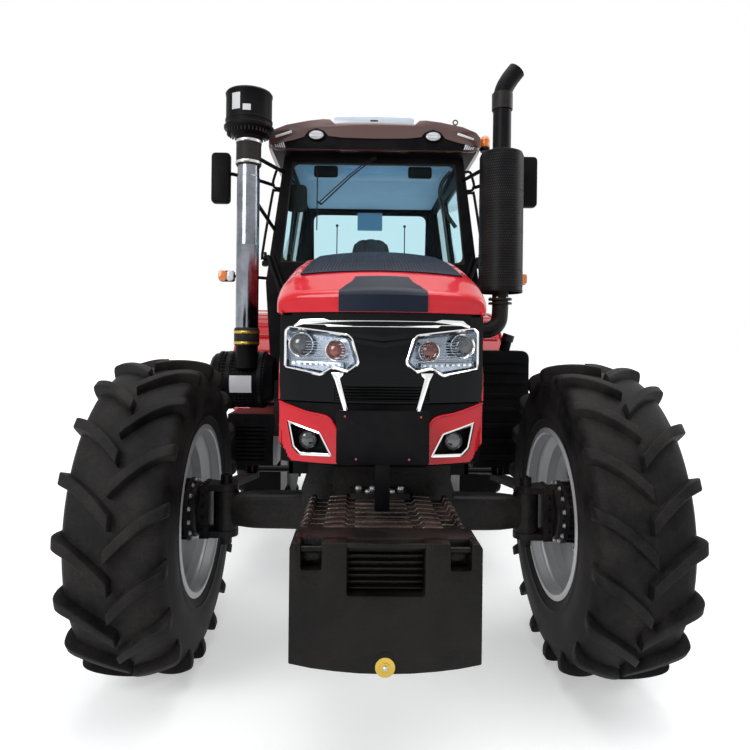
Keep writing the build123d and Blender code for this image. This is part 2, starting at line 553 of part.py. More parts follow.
def interior():
    """Dashboard with the steering column, steering wheel, seat and side console."""
    dash = block((-230, 230), (CAB_FRONT + CAB_WALL, CAB_FRONT + 190), (DECK_Z, 1980))
    column = column_place(-250) * Cylinder(COLUMN_R + 14, 420)
    foot = block((-90, 90), (CAB_FRONT + 185, CAB_FRONT + 260), (DECK_Z, 1800))
    shaft = column_place(-30) * Cylinder(COLUMN_R - 8, 40)
    dashboard = fuse([dash, foot, column, shaft])
    ring = column_place(0) * Torus(STEER_WHEEL_R - 16, 16)
    spokes = [column_place(0) * Rot(0, 0, a) * Pos((STEER_WHEEL_R - 16) / 2, 0, 0) * Box(STEER_WHEEL_R - 16, 26, 12)
              for a in (90, 210, 330)]
    hub = column_place(-4) * Cylinder(40, 28)
    wheel = fuse([ring] + spokes + [hub])
    socket = column_place(-10 + SEAT_GAP - 25) * Cylinder(COLUMN_R - 8 + FIT, 50)
    save("steering_wheel", wheel - socket)
    base = block((-190, 190), (SEAT_Y - 160, SEAT_Y + 200), (DECK_Z, CUSHION_Z[0]))
    pad = block((-250, 250), (SEAT_Y - 240, SEAT_Y + 230), CUSHION_Z)
    back = block((-240, 240), (SEAT_Y + 130, SEAT_Y + 250), (CUSHION_Z[1] + 2, 2180))
    rest = block((-190, 190), (SEAT_Y + 150, SEAT_Y + 250), (2180, 2440))
    pad = fillet(pad.edges(), 28)
    back = fillet(fuse([back, rest]).edges().filter_by(Axis.Y), 20)
    save("seat_cushion", pad)
    save("seat_back", back)
    spine = block((-60, 60), (SEAT_Y + 250, SEAT_Y + 275), (CUSHION_Z[0] - 100, 2100))
    strut = block((-60, 60), (SEAT_Y + 200, SEAT_Y + 275), (CUSHION_Z[0] - 100, CUSHION_Z[0] - 60))
    save("seat_base", fuse([base, spine, strut]))
    console = block((-560, -330), (1980, 2500), (DECK_Z, 1760))
    console = chamfer(console.edges().group_by(Axis.Z)[-1], 20)
    save("dashboard", Compound([dashboard.solid(), console.solid()]))


# ---- outside equipment --------------------------------------------------------------------------
FENDER_GAP, FENDER_OUT = 60.0, 1130.0
FENDER_R = REAR_TYRE_R + FENDER_GAP
TANK_X, TANK_Y, TANK_Z = (636.0, 987.0), (900.0, 1390.0), (700.0, 1490.0)
CLEANER_R, CLEANER_X, CLEANER_Y, CLEANER_Z = 186.0, (-1050.0, -640.0), 1085.0, 1280.0
INTAKE_X, INTAKE_Y, INTAKE_R = -800.0, 930.0, 72.0
BOWL_R, BOWL_Z = 148.0, (2800.0, 3100.0)
MUFFLER_R, MUFFLER_Z = 137.0, (1843.0, 2727.0)
STACK_R, STACK_TOP = 58.0, 3285.0
MIRROR_X, MIRROR_Z, MIRROR_Y = (950.0, 1078.0), (2435.0, 2773.0), 1120.0
BRACKET_Z = 2730.0
TAIL_Y = WHEELBASE + 700        # front of the tail lamps
WORK_LAMP_X = (340.0, 455.0)  # work lamps in the front of the roof, from the middle
STEP_X, STEP_Y = (640.0, 900.0), (1450.0, 1860.0)


def fenders():
    """Arch over each rear wheel, with the wall that joins it to the cab."""
    axle = (WHEELBASE, REAR_TYRE_R)
    outer = rod_x(FENDER_R, (CAB_REAR_HALF + 25, FENDER_OUT), *axle)
    outer -= rod_x(FENDER_R - SHEET, (CAB_REAR_HALF, FENDER_OUT + 1), *axle)
    web = rod_x(FENDER_R, (CAB_REAR_HALF, CAB_REAR_HALF + 25.5), *axle)
    low_front = block((0, 1200), (0, WHEELBASE), (-500, CAB_FLOOR_Z - 100))
    low_rear = block((0, 1200), (WHEELBASE - 1, 5000), (-500, 1400))
    save("fenders", both(fuse([outer, web]) - low_front - low_rear))


def tank_and_battery():
    """Fuel tank with its slanted filler on the left, battery box on the right, each on two arms."""
    tank = fillet(block(TANK_X, TANK_Y, TANK_Z).edges().filter_by(Axis.Y), 45)
    neck = link(38, (830, 960, TANK_Z[1] - 20), (862, 950, TANK_Z[1] + 105))
    save("fuel_tank", fuse([tank, neck]))
    box = block((-930, -TANK_X[0]), (1010, TANK_Y[1]), (700, 1060))
    save("battery_box", box)


def air_intake():
    """Canister across the tractor, riser pipe, and the bowl on top."""
    can = rod_x(CLEANER_R, CLEANER_X, CLEANER_Y, CLEANER_Z)
    saddle = block((INTAKE_X - 80, INTAKE_X + 80), (INTAKE_Y - 30, CLEANER_Y), (CLEANER_Z, CLEANER_Z + CLEANER_R + 5))
    cup = rod_z(INTAKE_R + 12, INTAKE_X, INTAKE_Y, (CLEANER_Z + 60, CLEANER_Z + CLEANER_R + 40))
    save("air_cleaner", fuse([can, saddle, cup]))
    low = CLEANER_Z + CLEANER_R + 40
    save("intake_pipe", rod_z(INTAKE_R, INTAKE_X, INTAKE_Y, (low, BOWL_Z[0])))
    bowl = rod_z(BOWL_R, INTAKE_X, INTAKE_Y, BOWL_Z)
    flange = rod_z(BOWL_R + 10, INTAKE_X, INTAKE_Y, (BOWL_Z[1] - 175, BOWL_Z[1] - 100))
    save("pre_cleaner", fuse([bowl, flange]))


def exhaust():
    """Elbow from the engine, muffler, and the stack with its outward tip."""
    run = rod_x(ELBOW_R, (ENGINE_HALF, STACK_X), STACK_Y, ELBOW_Z)
    port = block((ENGINE_HALF - 90, ENGINE_HALF + 40), (STACK_Y - 70, STACK_Y + 70), (ENGINE_TOP, ELBOW_Z + 60))
    rise = rod_z(ELBOW_R, STACK_X, STACK_Y, (ELBOW_Z, MUFFLER_Z[0]))
    corner = Pos(STACK_X, aft(STACK_Y), ELBOW_Z) * Sphere(ELBOW_R)
    save("exhaust_elbow", fuse([run, port, rise, corner]))
    shell = rod_z(MUFFLER_R, STACK_X, STACK_Y, MUFFLER_Z)
    bend_z, tip_x = STACK_TOP - 165, STACK_X + 95
    pipe = rod_z(STACK_R, STACK_X, STACK_Y, (MUFFLER_Z[1], bend_z))
    ball = Pos(STACK_X, aft(STACK_Y), bend_z) * Sphere(STACK_R)
    tip = link(STACK_R, (STACK_X, STACK_Y, bend_z), (tip_x, STACK_Y, STACK_TOP - 30))
    tip -= block((0, 2000), (0, 2000), (STACK_TOP, STACK_TOP + 300))
    save("muffler", fuse([shell, pipe, ball, tip]))


def stays():
    """Brackets from the cab's front posts to the muffler and the intake pipe, with grab rails."""
    out = CAB_TOP_HALF + 20
    left = [link(13, (out - 25, CAB_FRONT + 30, BRACKET_Z - 40), (STACK_X - 20, STACK_Y + MUFFLER_R - 12, BRACKET_Z - 40))]
    right = [link(13, (-out + 25, CAB_FRONT + 30, BRACKET_Z), (INTAKE_X, INTAKE_Y + INTAKE_R - 5, BRACKET_Z)),
             link(13, (-CAB_WAIST_HALF + 60, CAB_FRONT + 30, 2320), (INTAKE_X, INTAKE_Y + INTAKE_R - 5, 2480))]
    pieces = fuse(left), fuse(right[:1]), fuse(right[1:])
    cuts = [cab_solid(0), rod_z(MUFFLER_R, STACK_X, STACK_Y, MUFFLER_Z),
            rod_z(INTAKE_R, INTAKE_X, INTAKE_Y, (1000, 3000))]
    trimmed = []
    for piece in pieces:
        for cut in cuts:
            piece = piece - cut
        trimmed.append(max(piece.solids(), key=lambda s: s.volume))
    save("stays", Compound(trimmed))


def mirrors_and_lamps():
    """Mirrors and front side lamps on arms, work lamps and beacon on the roof, tail lamps."""
    head = fillet(block(MIRROR_X, (MIRROR_Y - 35, MIRROR_Y + 35), MIRROR_Z).edges(), 20)
    arm_z = MIRROR_Z[1] - 130
    arm = link(14, (CAB_TOP_HALF, CAB_FRONT + 30, arm_z), (MIRROR_X[0] + 30, MIRROR_Y + 20, arm_z))
    save("mirrors", both(fuse([head, arm - cab_solid(0)])))
    lamp = fillet(block((955, 1065), (1265, 1345), (1940, 2020)).edges(), 15)
    stalk = link(12, (CAB_WAIST_HALF - 20, CAB_FRONT + 30, 1980), (980, 1310, 1980)) - cab_solid(0)
    roof_front = block(WORK_LAMP_X, (ROOF_FRONT - 15, ROOF_FRONT), (CAB_TOP_Z + 70, CAB_TOP_Z + 140))
    tail = block((CAB_REAR_HALF + 250, FENDER_OUT - 60), (TAIL_Y, TAIL_Y + 50), (1535, 1620))
    tail_stem = block((CAB_REAR_HALF + 300, CAB_REAR_HALF + 340), (TAIL_Y - 120, TAIL_Y + 1), (1550, 1600))
    tail_stem -= rod_x(FENDER_R, (0, 2000), WHEELBASE, REAR_TYRE_R)
    groups = [fuse([lamp, stalk]), roof_front, fuse([tail, tail_stem])]
    shelf = block((ROOF_HALF, ROOF_HALF + 30), (1315, 1345), (CAB_TOP_Z + 40, CAB_TOP_Z + 60))
    beacon = fuse([shelf, rod_z(34, ROOF_HALF + 37, 1330, (CAB_TOP_Z + 30, CAB_TOP_Z + 145))])
    save("lamps", Compound([s for g in groups for s in both(g).solids()] + [beacon.solid()]))


def steps():
    """Three treads between two side plates below each door."""
    plates = [block((x, x + 12), STEP_Y, (420, CAB_FLOOR_Z)) for x in (STEP_X[0],)]
    sides = [block(STEP_X, y, (420, 1040)) for y in ((STEP_Y[0], STEP_Y[0] + 12), (STEP_Y[1] - 12, STEP_Y[1]))]
    treads = [block(STEP_X, STEP_Y, (z, z + 25)) for z in (430, 720, 1010)]
    save("steps", both(fuse(plates + sides + treads)))


# ---- rear linkage -------------------------------------------------------------------------------
SHAFT_Y, SHAFT_Z, SHAFT_R = GEARBOX_REAR + 45, 1040.0, 35.0
ARM_LENGTH, ARM_PIN_R = 370.0, 12.0
LINK_Y, LINK_Z, LINK_IN, LINK_OUT = GEARBOX_REAR - 40, 600.0, 320.0, 440.0
BALL_R, BALL_BORE_R, BALL_HALF = 32.0, 14.35, 22.5
TOP_Y, TOP_Z, TOP_LENGTH, TOP_ANGLE = GEARBOX_REAR + 65, 930.0, 620.0, 46.0
TOP_BORE_R, TOP_PIN_R = 12.85, 12.0
DRAWBAR_Z, DRAWBAR_R, DRAWBAR_HOLE_Y = (430.0, 462.0), 16.5, WHEELBASE + 800
PTO_R, PTO_Z, PTO_REACH = 17.45, 700.0, 90.0


def rear_carriers():
    """Brackets on the gearbox: rockshaft ears, link pins, top-link ears."""
    ears = [rod_x(TOP_PIN_R, (-50, 50), TOP_Y, TOP_Z)]
    for s in (-1, 1):
        ears.append(block((s * 205, s * 245), (GEARBOX_REAR - 60, SHAFT_Y + 50), (SHAFT_Z - 50, SHAFT_Z + 50)))
        ears.append(rod_x(20, (s * (GEARBOX_HALF - 30), s * (LINK_IN + 30)), LINK_Y, LINK_Z))
        ears.append(block((s * 32, s * 50), (GEARBOX_REAR - 60, TOP_Y + 28), (TOP_Z - 28, TOP_Z + 28)))
    bore = rod_x(SHAFT_R + FIT, (-400, 400), SHAFT_Y, SHAFT_Z)
    return fuse(ears) - bore


def pto_stub():
    """Power take-off shaft end."""
    return rod_y(PTO_R, 0, (GEARBOX_REAR - 40, GEARBOX_REAR + PTO_REACH), PTO_Z)


def linkage():
    """Rockshaft with its arms, lift rods, lower links and top link."""
    shaft = rod_x(SHAFT_R, (-330, 330), SHAFT_Y, SHAFT_Z)
    end_y = SHAFT_Y + ARM_LENGTH
    arms = [link(17, (s * 310, SHAFT_Y, SHAFT_Z), (s * 310, end_y, SHAFT_Z)) for s in (-1, 1)]
    hubs = [rod_x(52, (s * 285, s * 330), SHAFT_Y, SHAFT_Z) for s in (-1, 1)]
    eyes = [rod_x(32, (s * 294, s * 328), end_y, SHAFT_Z) for s in (-1, 1)]
    pins = [rod_x(ARM_PIN_R, (s * 300, s * 360), end_y, SHAFT_Z) for s in (-1, 1)]
    save("lift_arms", fuse([shaft] + arms + hubs + eyes + pins))
    rods = []
    for s in (-1, 1):
        top = rod_x(28, (s * 331, s * 353), end_y, SHAFT_Z)
        bar = link(8, (s * 342, end_y, SHAFT_Z - 20), (s * 342, end_y, LINK_Z + 15))
        low = rod_x(24, (s * 332, s * 352), end_y, LINK_Z)
        rods.append(fuse([top, bar, low]) - rod_x(ARM_PIN_R + FIT, (-400, 400), end_y, SHAFT_Z))
    save("lift_rods", Compound([r.solid() for r in rods]))
    ball_y = WHEELBASE + REAR_OVERHANG - BALL_R
    links = []
    for s in (1, -1):
        bar = link(21, (s * (LINK_IN + 6), LINK_Y, LINK_Z), (s * LINK_OUT, ball_y - BALL_R + 8, LINK_Z))
        hub = rod_x(38, (s * (LINK_IN - 15), s * (LINK_IN + 28)), LINK_Y, LINK_Z)
        ball = rod_x(BALL_R, (s * (LINK_OUT - BALL_HALF), s * (LINK_OUT + BALL_HALF)), ball_y, LINK_Z)
        whole = fuse([bar, hub, ball]) - rod_x(20 + FIT, (-900, 900), LINK_Y, LINK_Z)
        links.append(whole - rod_x(BALL_BORE_R, (-900, 900), ball_y, LINK_Z))
    save("lower_links", Compound([piece.solid() for piece in links]))
    rise = Rot(TOP_ANGLE, 0, 0)
    place = Pos(0, aft(TOP_Y), TOP_Z) * rise
    tube = place * Pos(0, TOP_LENGTH / 2, 0) * Rot(90, 0, 0) * Cylinder(19, TOP_LENGTH)
    ends = [place * Pos(0, y, 0) * Rot(0, 90, 0) * Cylinder(30, 50) for y in (0, TOP_LENGTH)]
    whole = fuse([tube] + ends) - rod_x(TOP_PIN_R + FIT, (-90, 90), TOP_Y, TOP_Z)
    save("top_link", whole - place * Pos(0, TOP_LENGTH, 0) * Rot(0, 90, 0) * Cylinder(TOP_BORE_R, 60))


def drawbar():
    """Drawbar with its pin hole, hung below the gearbox."""
    bar = block((-42, 42), (WHEELBASE + 60, DRAWBAR_HOLE_Y + 50), DRAWBAR_Z)
    hanger = block((-80, 80), (WHEELBASE + 80, WHEELBASE + 230), (DRAWBAR_Z[1] - 5, GEARBOX_Z[0]))
    hole = rod_z(DRAWBAR_R, 0, DRAWBAR_HOLE_Y, (0, 1000))
    save("drawbar", fuse([bar, hanger]) - hole)


def main():
    """Write every node."""
    os.makedirs("parts", exist_ok=True)
    for make in (wheels, front_axle, steering_gear, knuckles, frame_rails, engine_and_transmission,
                 front_weights, plate_board, nose, hood, side_panels, cab,
                 roof, interior, fenders, tank_and_battery, air_intake, exhaust, stays,
                 mirrors_and_lamps, steps, linkage, drawbar):
        make()


main()
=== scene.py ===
"""Farm tractor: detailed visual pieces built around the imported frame, in metres."""
import logging
import math
from dataclasses import dataclass
from enum import Enum
from functools import lru_cache
from typing import Iterable, Sequence

import bmesh
import bpy
from mathutils import Matrix, Vector


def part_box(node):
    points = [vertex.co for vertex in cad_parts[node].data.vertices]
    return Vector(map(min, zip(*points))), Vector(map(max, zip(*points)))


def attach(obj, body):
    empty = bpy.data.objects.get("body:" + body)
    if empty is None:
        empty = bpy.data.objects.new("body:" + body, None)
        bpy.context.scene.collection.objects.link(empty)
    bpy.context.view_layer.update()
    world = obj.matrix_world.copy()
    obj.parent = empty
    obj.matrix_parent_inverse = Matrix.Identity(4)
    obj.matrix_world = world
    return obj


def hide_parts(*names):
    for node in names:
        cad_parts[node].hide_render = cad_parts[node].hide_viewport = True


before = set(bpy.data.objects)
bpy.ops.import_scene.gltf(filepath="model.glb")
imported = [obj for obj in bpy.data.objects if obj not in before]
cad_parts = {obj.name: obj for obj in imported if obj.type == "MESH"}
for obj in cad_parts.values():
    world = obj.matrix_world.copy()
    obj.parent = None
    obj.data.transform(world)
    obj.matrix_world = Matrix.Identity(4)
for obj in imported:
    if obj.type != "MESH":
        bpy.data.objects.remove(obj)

log = logging.getLogger("tractor")
logging.basicConfig(level=logging.INFO, format="%(message)s")

Point = Sequence[float]
Pair = tuple[float, float]
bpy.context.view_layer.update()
FULL_TURN = 2 * math.pi
SIDES = (("left", 1), ("right", -1))
FLIP = Matrix.Scale(-1, 4, Vector((1, 0, 0)))
SHARP_EDGE = 0.45  # radians; a corner that turns more than this is rounded
SEED = 11  # for the random turns of repeated shapes


@lru_cache(maxsize=None)
def corners(node: str) -> tuple[Vector, Vector]:
    """Lowest and highest corner of a CAD node, read once."""
    low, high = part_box(node)
    return Vector(low), Vector(high)


AXLE_Y = (corners("front_tyre_left")[0].y + corners("front_tyre_left")[1].y) / 2


def aft(distance: float) -> float:
    """Y of a place that lies a distance behind the front axle."""
    return AXLE_Y + distance


def behind(y: float) -> float:
    """Distance of a Y behind the front axle."""
    return y - AXLE_Y


def circle(steps: int) -> list[Pair]:
    """Points evenly round a circle of radius 1."""
    return [(math.cos(FULL_TURN * k / steps), math.sin(FULL_TURN * k / steps)) for k in range(steps)]


def about(point: Point, turn: Matrix) -> Matrix:
    """A turn or flip made about a point instead of the origin."""
    return Matrix.Translation(point) @ turn @ Matrix.Translation([-value for value in point])


def other_side(half: Sequence[Pair]) -> list[Pair]:
    """The mirror image of half an outline, run back the other way."""
    return [(-x, z) for x, z in reversed(half)]


def tone(code: str) -> tuple[float, float, float, float]:
    """Linear colour of a display colour.

    Args:
        code: Six hexadecimal digits.

    Returns:
        Red, green, blue and alpha.
    """
    parts = [int(code[i:i + 2], 16) / 255 for i in (0, 2, 4)]
    red, green, blue = [p / 12.92 if p <= 0.04045 else ((p + 0.055) / 1.055) ** 2.4 for p in parts]
    return red, green, blue, 1.0


class Axis(Enum):
    """Direction that an outline is drawn out along or a profile is turned about."""

    X = 0
    Y = 1
    Z = 2

    def point(self, along: float, a: float, b: float) -> Vector:
        """Point at a distance along the axis, with its two other coordinates in order."""
        other = [a, b]
        return Vector([along if i == self.value else other.pop(0) for i in range(3)])


class Grain(Enum):
    """Kind of surface relief that a finish has."""

    PAINT = "paint"
    CAST = "cast"
    RUBBER = "rubber"
    METAL = "metal"
    MOULDED = "moulded"
    CLOTH = "cloth"
    CLEAR = "clear"


GRAIN_SCALE = {Grain.PAINT: 260.0, Grain.CAST: 120.0, Grain.RUBBER: 170.0, Grain.METAL: 300.0,
               Grain.MOULDED: 420.0, Grain.CLOTH: 300.0, Grain.CLEAR: 5.0}
CELL_SHARE = 0.7  # scale of the cells over the scale of the grain
WEAVE_SCALE = 90.0
PATCH_SCALE = 5.0
PATCH_RANGE = (0.35, 0.68, 0.0, 1.0)  # noise from and to, patch from and to
RELIEF_HEIGHT = 0.002
COAT_ROUGHNESS = 0.06
CLOTH_SHEEN = 0.35
THIN_GLASS_IOR = 1.1  # low, since panes are modelled as single sheets
WHITE_LIGHT = (1.0, 1.0, 1.0, 1.0)


@dataclass(frozen=True)
class Finish:
    """Procedural finish on object coordinates.

    Attributes:
        name: Name of the material.
        colour: Display colour, six hexadecimal digits.
        grain: Kind of relief.
        roughness: Middle roughness.
        metallic: Metalness.
        vary: Share by which broad patches darken; on chrome these patches are painted reflections.
        bump: Strength of the relief.
        dust: Display colour of the dust in the patches.
        dusting: Share of dust where it lies thickest.
        coat: Weight of the clear coat.
        glow: Strength of emission in the finish's own colour.
        shine: Level of the plain reflection.
    """

    name: str
    colour: str
    grain: Grain = Grain.PAINT
    roughness: float = 0.4
    metallic: float = 0.0
    vary: float = 0.12
    bump: float = 0.08
    dust: str = "8a7c6c"
    dusting: float = 0.05
    coat: float = 0.0
    glow: float = 0.0
    shine: float = 0.5

    def relief(self, tree: bpy.types.NodeTree, place: bpy.types.NodeSocket) -> bpy.types.NodeSocket:
        """Height of the surface.

        Args:
            tree: Node tree of the material.
            place: Object coordinates.

        Returns:
            Socket that carries the height.
        """
        fine = tree.nodes.new("ShaderNodeTexNoise")
        fine.inputs["Scale"].default_value = GRAIN_SCALE[self.grain]
        fine.inputs["Detail"].default_value = 3.0
        tree.links.new(place, fine.inputs["Vector"])
        if self.grain in (Grain.CAST, Grain.MOULDED, Grain.RUBBER):
            cells = tree.nodes.new("ShaderNodeTexVoronoi")
            cells.inputs["Scale"].default_value = GRAIN_SCALE[self.grain] * CELL_SHARE
            tree.links.new(place, cells.inputs["Vector"])
            return self.math(tree, "ADD", fine.outputs["Fac"], cells.outputs["Distance"])
        if self.grain is Grain.CLOTH:
            weave = []
            for direction in ("X", "Y"):
                wave = tree.nodes.new("ShaderNodeTexWave")
                wave.bands_direction = direction
                wave.inputs["Scale"].default_value = WEAVE_SCALE
                wave.inputs["Distortion"].default_value = 0.6
                tree.links.new(place, wave.inputs["Vector"])
                weave.append(wave.outputs["Fac"])
            woven = self.math(tree, "ADD", weave[0], weave[1])
            return self.math(tree, "MULTIPLY_ADD", woven, 0.6, fine.outputs["Fac"])
        return fine.outputs["Fac"]

    @staticmethod
    def math(tree: bpy.types.NodeTree, operation: str, *values: object) -> bpy.types.NodeSocket:
        """Add one math node.

        Args:
            tree: Node tree of the material.
            operation: Name of the operation.
            values: Sockets or numbers, in the order of its inputs.

        Returns:
            Socket of the result.
        """
        node = tree.nodes.new("ShaderNodeMath")
        node.operation = operation
        for socket, value in zip(node.inputs, values):
            if isinstance(value, (int, float)):
                socket.default_value = value
            else:
                tree.links.new(value, socket)
        return node.outputs[0]

    def mix(self, tree: bpy.types.NodeTree, share: bpy.types.NodeSocket, first: object,
            second: object) -> bpy.types.NodeSocket:
        """Blend two colours.

        Args:
            tree: Node tree of the material.
            share: Share of the second colour.
            first: Colour or socket.
            second: Colour or socket.

        Returns:
            Socket of the blend.
        """
        node = tree.nodes.new("ShaderNodeMix")
        node.data_type = "RGBA"
        tree.links.new(share, node.inputs["Factor"])
        for socket, value in ((node.inputs[6], first), (node.inputs[7], second)):
            if isinstance(value, tuple):
                socket.default_value = value
            else:
                tree.links.new(value, socket)
        return node.outputs[2]

    def material(self) -> bpy.types.Material:
        """The finish as a material, made once."""
        known = bpy.data.materials.get(self.name)
        if known:
            return known
        made = bpy.data.materials.new(self.name)
        made.use_nodes = True
        tree = made.node_tree
        shader = tree.nodes["Principled BSDF"]
        place = tree.nodes.new("ShaderNodeTexCoord").outputs["Object"]
        colour = tone(self.colour)
        shader.inputs["Metallic"].default_value = self.metallic
        shader.inputs["Specular IOR Level"].default_value = self.shine
        shader.inputs["Coat Weight"].default_value = self.coat
        shader.inputs["Coat Roughness"].default_value = COAT_ROUGHNESS
        shader.inputs["Emission Strength"].default_value = self.glow
        shader.inputs["Emission Color"].default_value = colour
        if self.grain is Grain.CLOTH:
            shader.inputs["Sheen Weight"].default_value = CLOTH_SHEEN
        patches = tree.nodes.new("ShaderNodeTexNoise")
        patches.inputs["Scale"].default_value = PATCH_SCALE
        patches.inputs["Detail"].default_value = 6.0
        patches.inputs["Roughness"].default_value = 0.65
        tree.links.new(place, patches.inputs["Vector"])
        spread = tree.nodes.new("ShaderNodeMapRange")
        for socket, value in zip(spread.inputs[1:5], PATCH_RANGE):
            socket.default_value = value
        tree.links.new(patches.outputs["Fac"], spread.inputs[0])
        patch = spread.outputs[0]
        # Broad patches between a darker and a lighter tone: random tone, and on chrome painted
        # reflections.
        darker = tuple(c * (1 - self.vary) for c in colour[:3]) + (1.0,)
        lift = 1 + self.vary * 0.6
        lighter = tuple(min(1.0, c * lift + 0.01 * self.vary) for c in colour[:3]) + (1.0,)
        base = self.mix(tree, patch, darker, lighter)
        relief = self.relief(tree, place)
        dusty = self.math(tree, "MULTIPLY", relief,
                          self.math(tree, "MULTIPLY", patch, self.dusting * 1.6))
        base = self.mix(tree, dusty, base, tone(self.dust))
        tree.links.new(base, shader.inputs["Base Color"])
        rough = self.math(tree, "MULTIPLY_ADD", patch, self.vary * 0.5,
                          self.roughness - self.vary * 0.25)
        if self.grain is Grain.CLEAR:
            shader.inputs["Roughness"].default_value = self.roughness
            shader.inputs["Transmission Weight"].default_value = 1.0
            shader.inputs["IOR"].default_value = THIN_GLASS_IOR
        else:
            tree.links.new(rough, shader.inputs["Roughness"])
            bump = tree.nodes.new("ShaderNodeBump")
            bump.inputs["Strength"].default_value = self.bump
            bump.inputs["Distance"].default_value = RELIEF_HEIGHT
            tree.links.new(relief, bump.inputs["Height"])
            tree.links.new(bump.outputs["Normal"], shader.inputs["Normal"])
        return made


RED = Finish("red_gloss", "cf0f22", roughness=0.26, coat=0.5, vary=0.08, bump=0.02,
             dusting=0.02, shine=0.1)
BLACK = Finish("black_satin", "08090d", roughness=0.38, vary=0.2, dusting=0.02, shine=0.07)
CAST = Finish("cast_black", "0a0807", Grain.CAST, 0.34, vary=0.35, bump=0.35, dust="3a2b24",
              dusting=0.06, shine=0.14)
# Lighter copy of the cast finish for the slabs: partly real wear and dust, partly a painted highlight
# for the sheen on their tops.
WORN_AND_LIT = Finish("cast_worn_and_lit", "1c1513", Grain.CAST, 0.27, vary=0.5, bump=0.4, dust="6b5548",
              dusting=0.2, shine=0.5)
STEEL = Finish("axle_black", "0a0b10", Grain.CAST, 0.42, vary=0.3, bump=0.25, dusting=0.05, shine=0.14)
PLASTIC = Finish("moulded_black", "07080c", Grain.MOULDED, 0.42, vary=0.18, bump=0.12,
                 dusting=0.012, shine=0.05)
GLOSS_BLACK = Finish("gloss_black", "040508", roughness=0.2, coat=0.05, vary=0.15, bump=0.01,
                     dusting=0.0, shine=0.1)
RUBBER = Finish("tyre_rubber", "101012", Grain.RUBBER, 0.6, vary=0.3, bump=0.3, dust="514b46",
                dusting=0.13, shine=0.1)
SEAL = Finish("seal_rubber", "0a0b0d", Grain.RUBBER, 0.6, vary=0.2, bump=0.15, shine=0.2)
SILVER = Finish("rim_silver", "8d9097", roughness=0.38, metallic=0.55, vary=0.16, bump=0.06,
                dust="6b6158", dusting=0.12)
# Chrome: its strong broad dark patches are painted reflections of the surroundings.
CHROME_PAINTED_REFLECTIONS = Finish("chrome", "b4b8be", Grain.METAL, 0.14, 1.0, vary=0.5, bump=0.01, dusting=0.01)
STAINLESS = Finish("stainless_pipe", "7f838b", Grain.METAL, 0.2, 1.0, vary=0.4, bump=0.02, dusting=0.02)
BRIGHT = Finish("bright_steel", "9a9da3", Grain.METAL, 0.3, 1.0, vary=0.15, bump=0.06, dusting=0.05)
ZINC = Finish("yellow_zinc", "c9a94e", Grain.METAL, 0.32, 0.9, vary=0.2, bump=0.05)
BROWN = Finish("roof_brown", "170c0c", roughness=0.3, metallic=0.15, coat=0.2, vary=0.15,
               bump=0.03, shine=0.12)
GREY = Finish("hatch_grey", "9fb0c2", roughness=0.4, vary=0.08, bump=0.05)
PAD = Finish("pad_blue_black", "0c1526", Grain.MOULDED, 0.38, vary=0.18, bump=0.1,
             dusting=0.0, shine=0.15)
# Painted light: the lining glows, though it is no lamp, to brighten the cab's inside as seen through the
# glass.
LINING_PAINTED_GLOW = Finish("pale_lining_painted_glow", "7ea6c6", Grain.CLOTH, 0.8, vary=0.1, bump=0.2, glow=0.22, shine=0.2)
GLASS = Finish("tinted_glass", "dff5fa", Grain.CLEAR, 0.02, vary=0.03)
LENS = Finish("clear_lens", "eef2f6", Grain.CLEAR, 0.02, vary=0.03)
REFLECTOR = Finish("lamp_reflector", "bcc3cc", Grain.METAL, 0.24, 0.9, vary=0.5, bump=0.02, dusting=0.0)
PROJECTOR = Finish("projector_glass", "4a4d50", roughness=0.06, metallic=0.4, coat=0.8,
                   vary=0.5, bump=0.0)
WARM_GLASS = Finish("projector_warm", "6a3027", roughness=0.08, metallic=0.4, coat=0.8,
                    vary=0.5, bump=0.0)
AMBER = Finish("amber_lens", "d9761a", roughness=0.2, coat=0.5, vary=0.15, bump=0.05, glow=0.15)
WHITE = Finish("white_lens", "d4d8dc", roughness=0.25, coat=0.4, vary=0.1, bump=0.04)
RED_LENS = Finish("red_lens", "a3101a", roughness=0.2, coat=0.5, vary=0.12, bump=0.05)
LABEL = Finish("blank_label", "c4c7ca", roughness=0.5, vary=0.06, bump=0.03)
CLOTH = Finish("seat_cloth", "1c1f25", Grain.CLOTH, 0.85, vary=0.2, bump=0.5, dusting=0.08, shine=0.2)
GRIP = Finish("grip_leather", "0c0d0f", Grain.MOULDED, 0.5, vary=0.15, bump=0.3, shine=0.25)


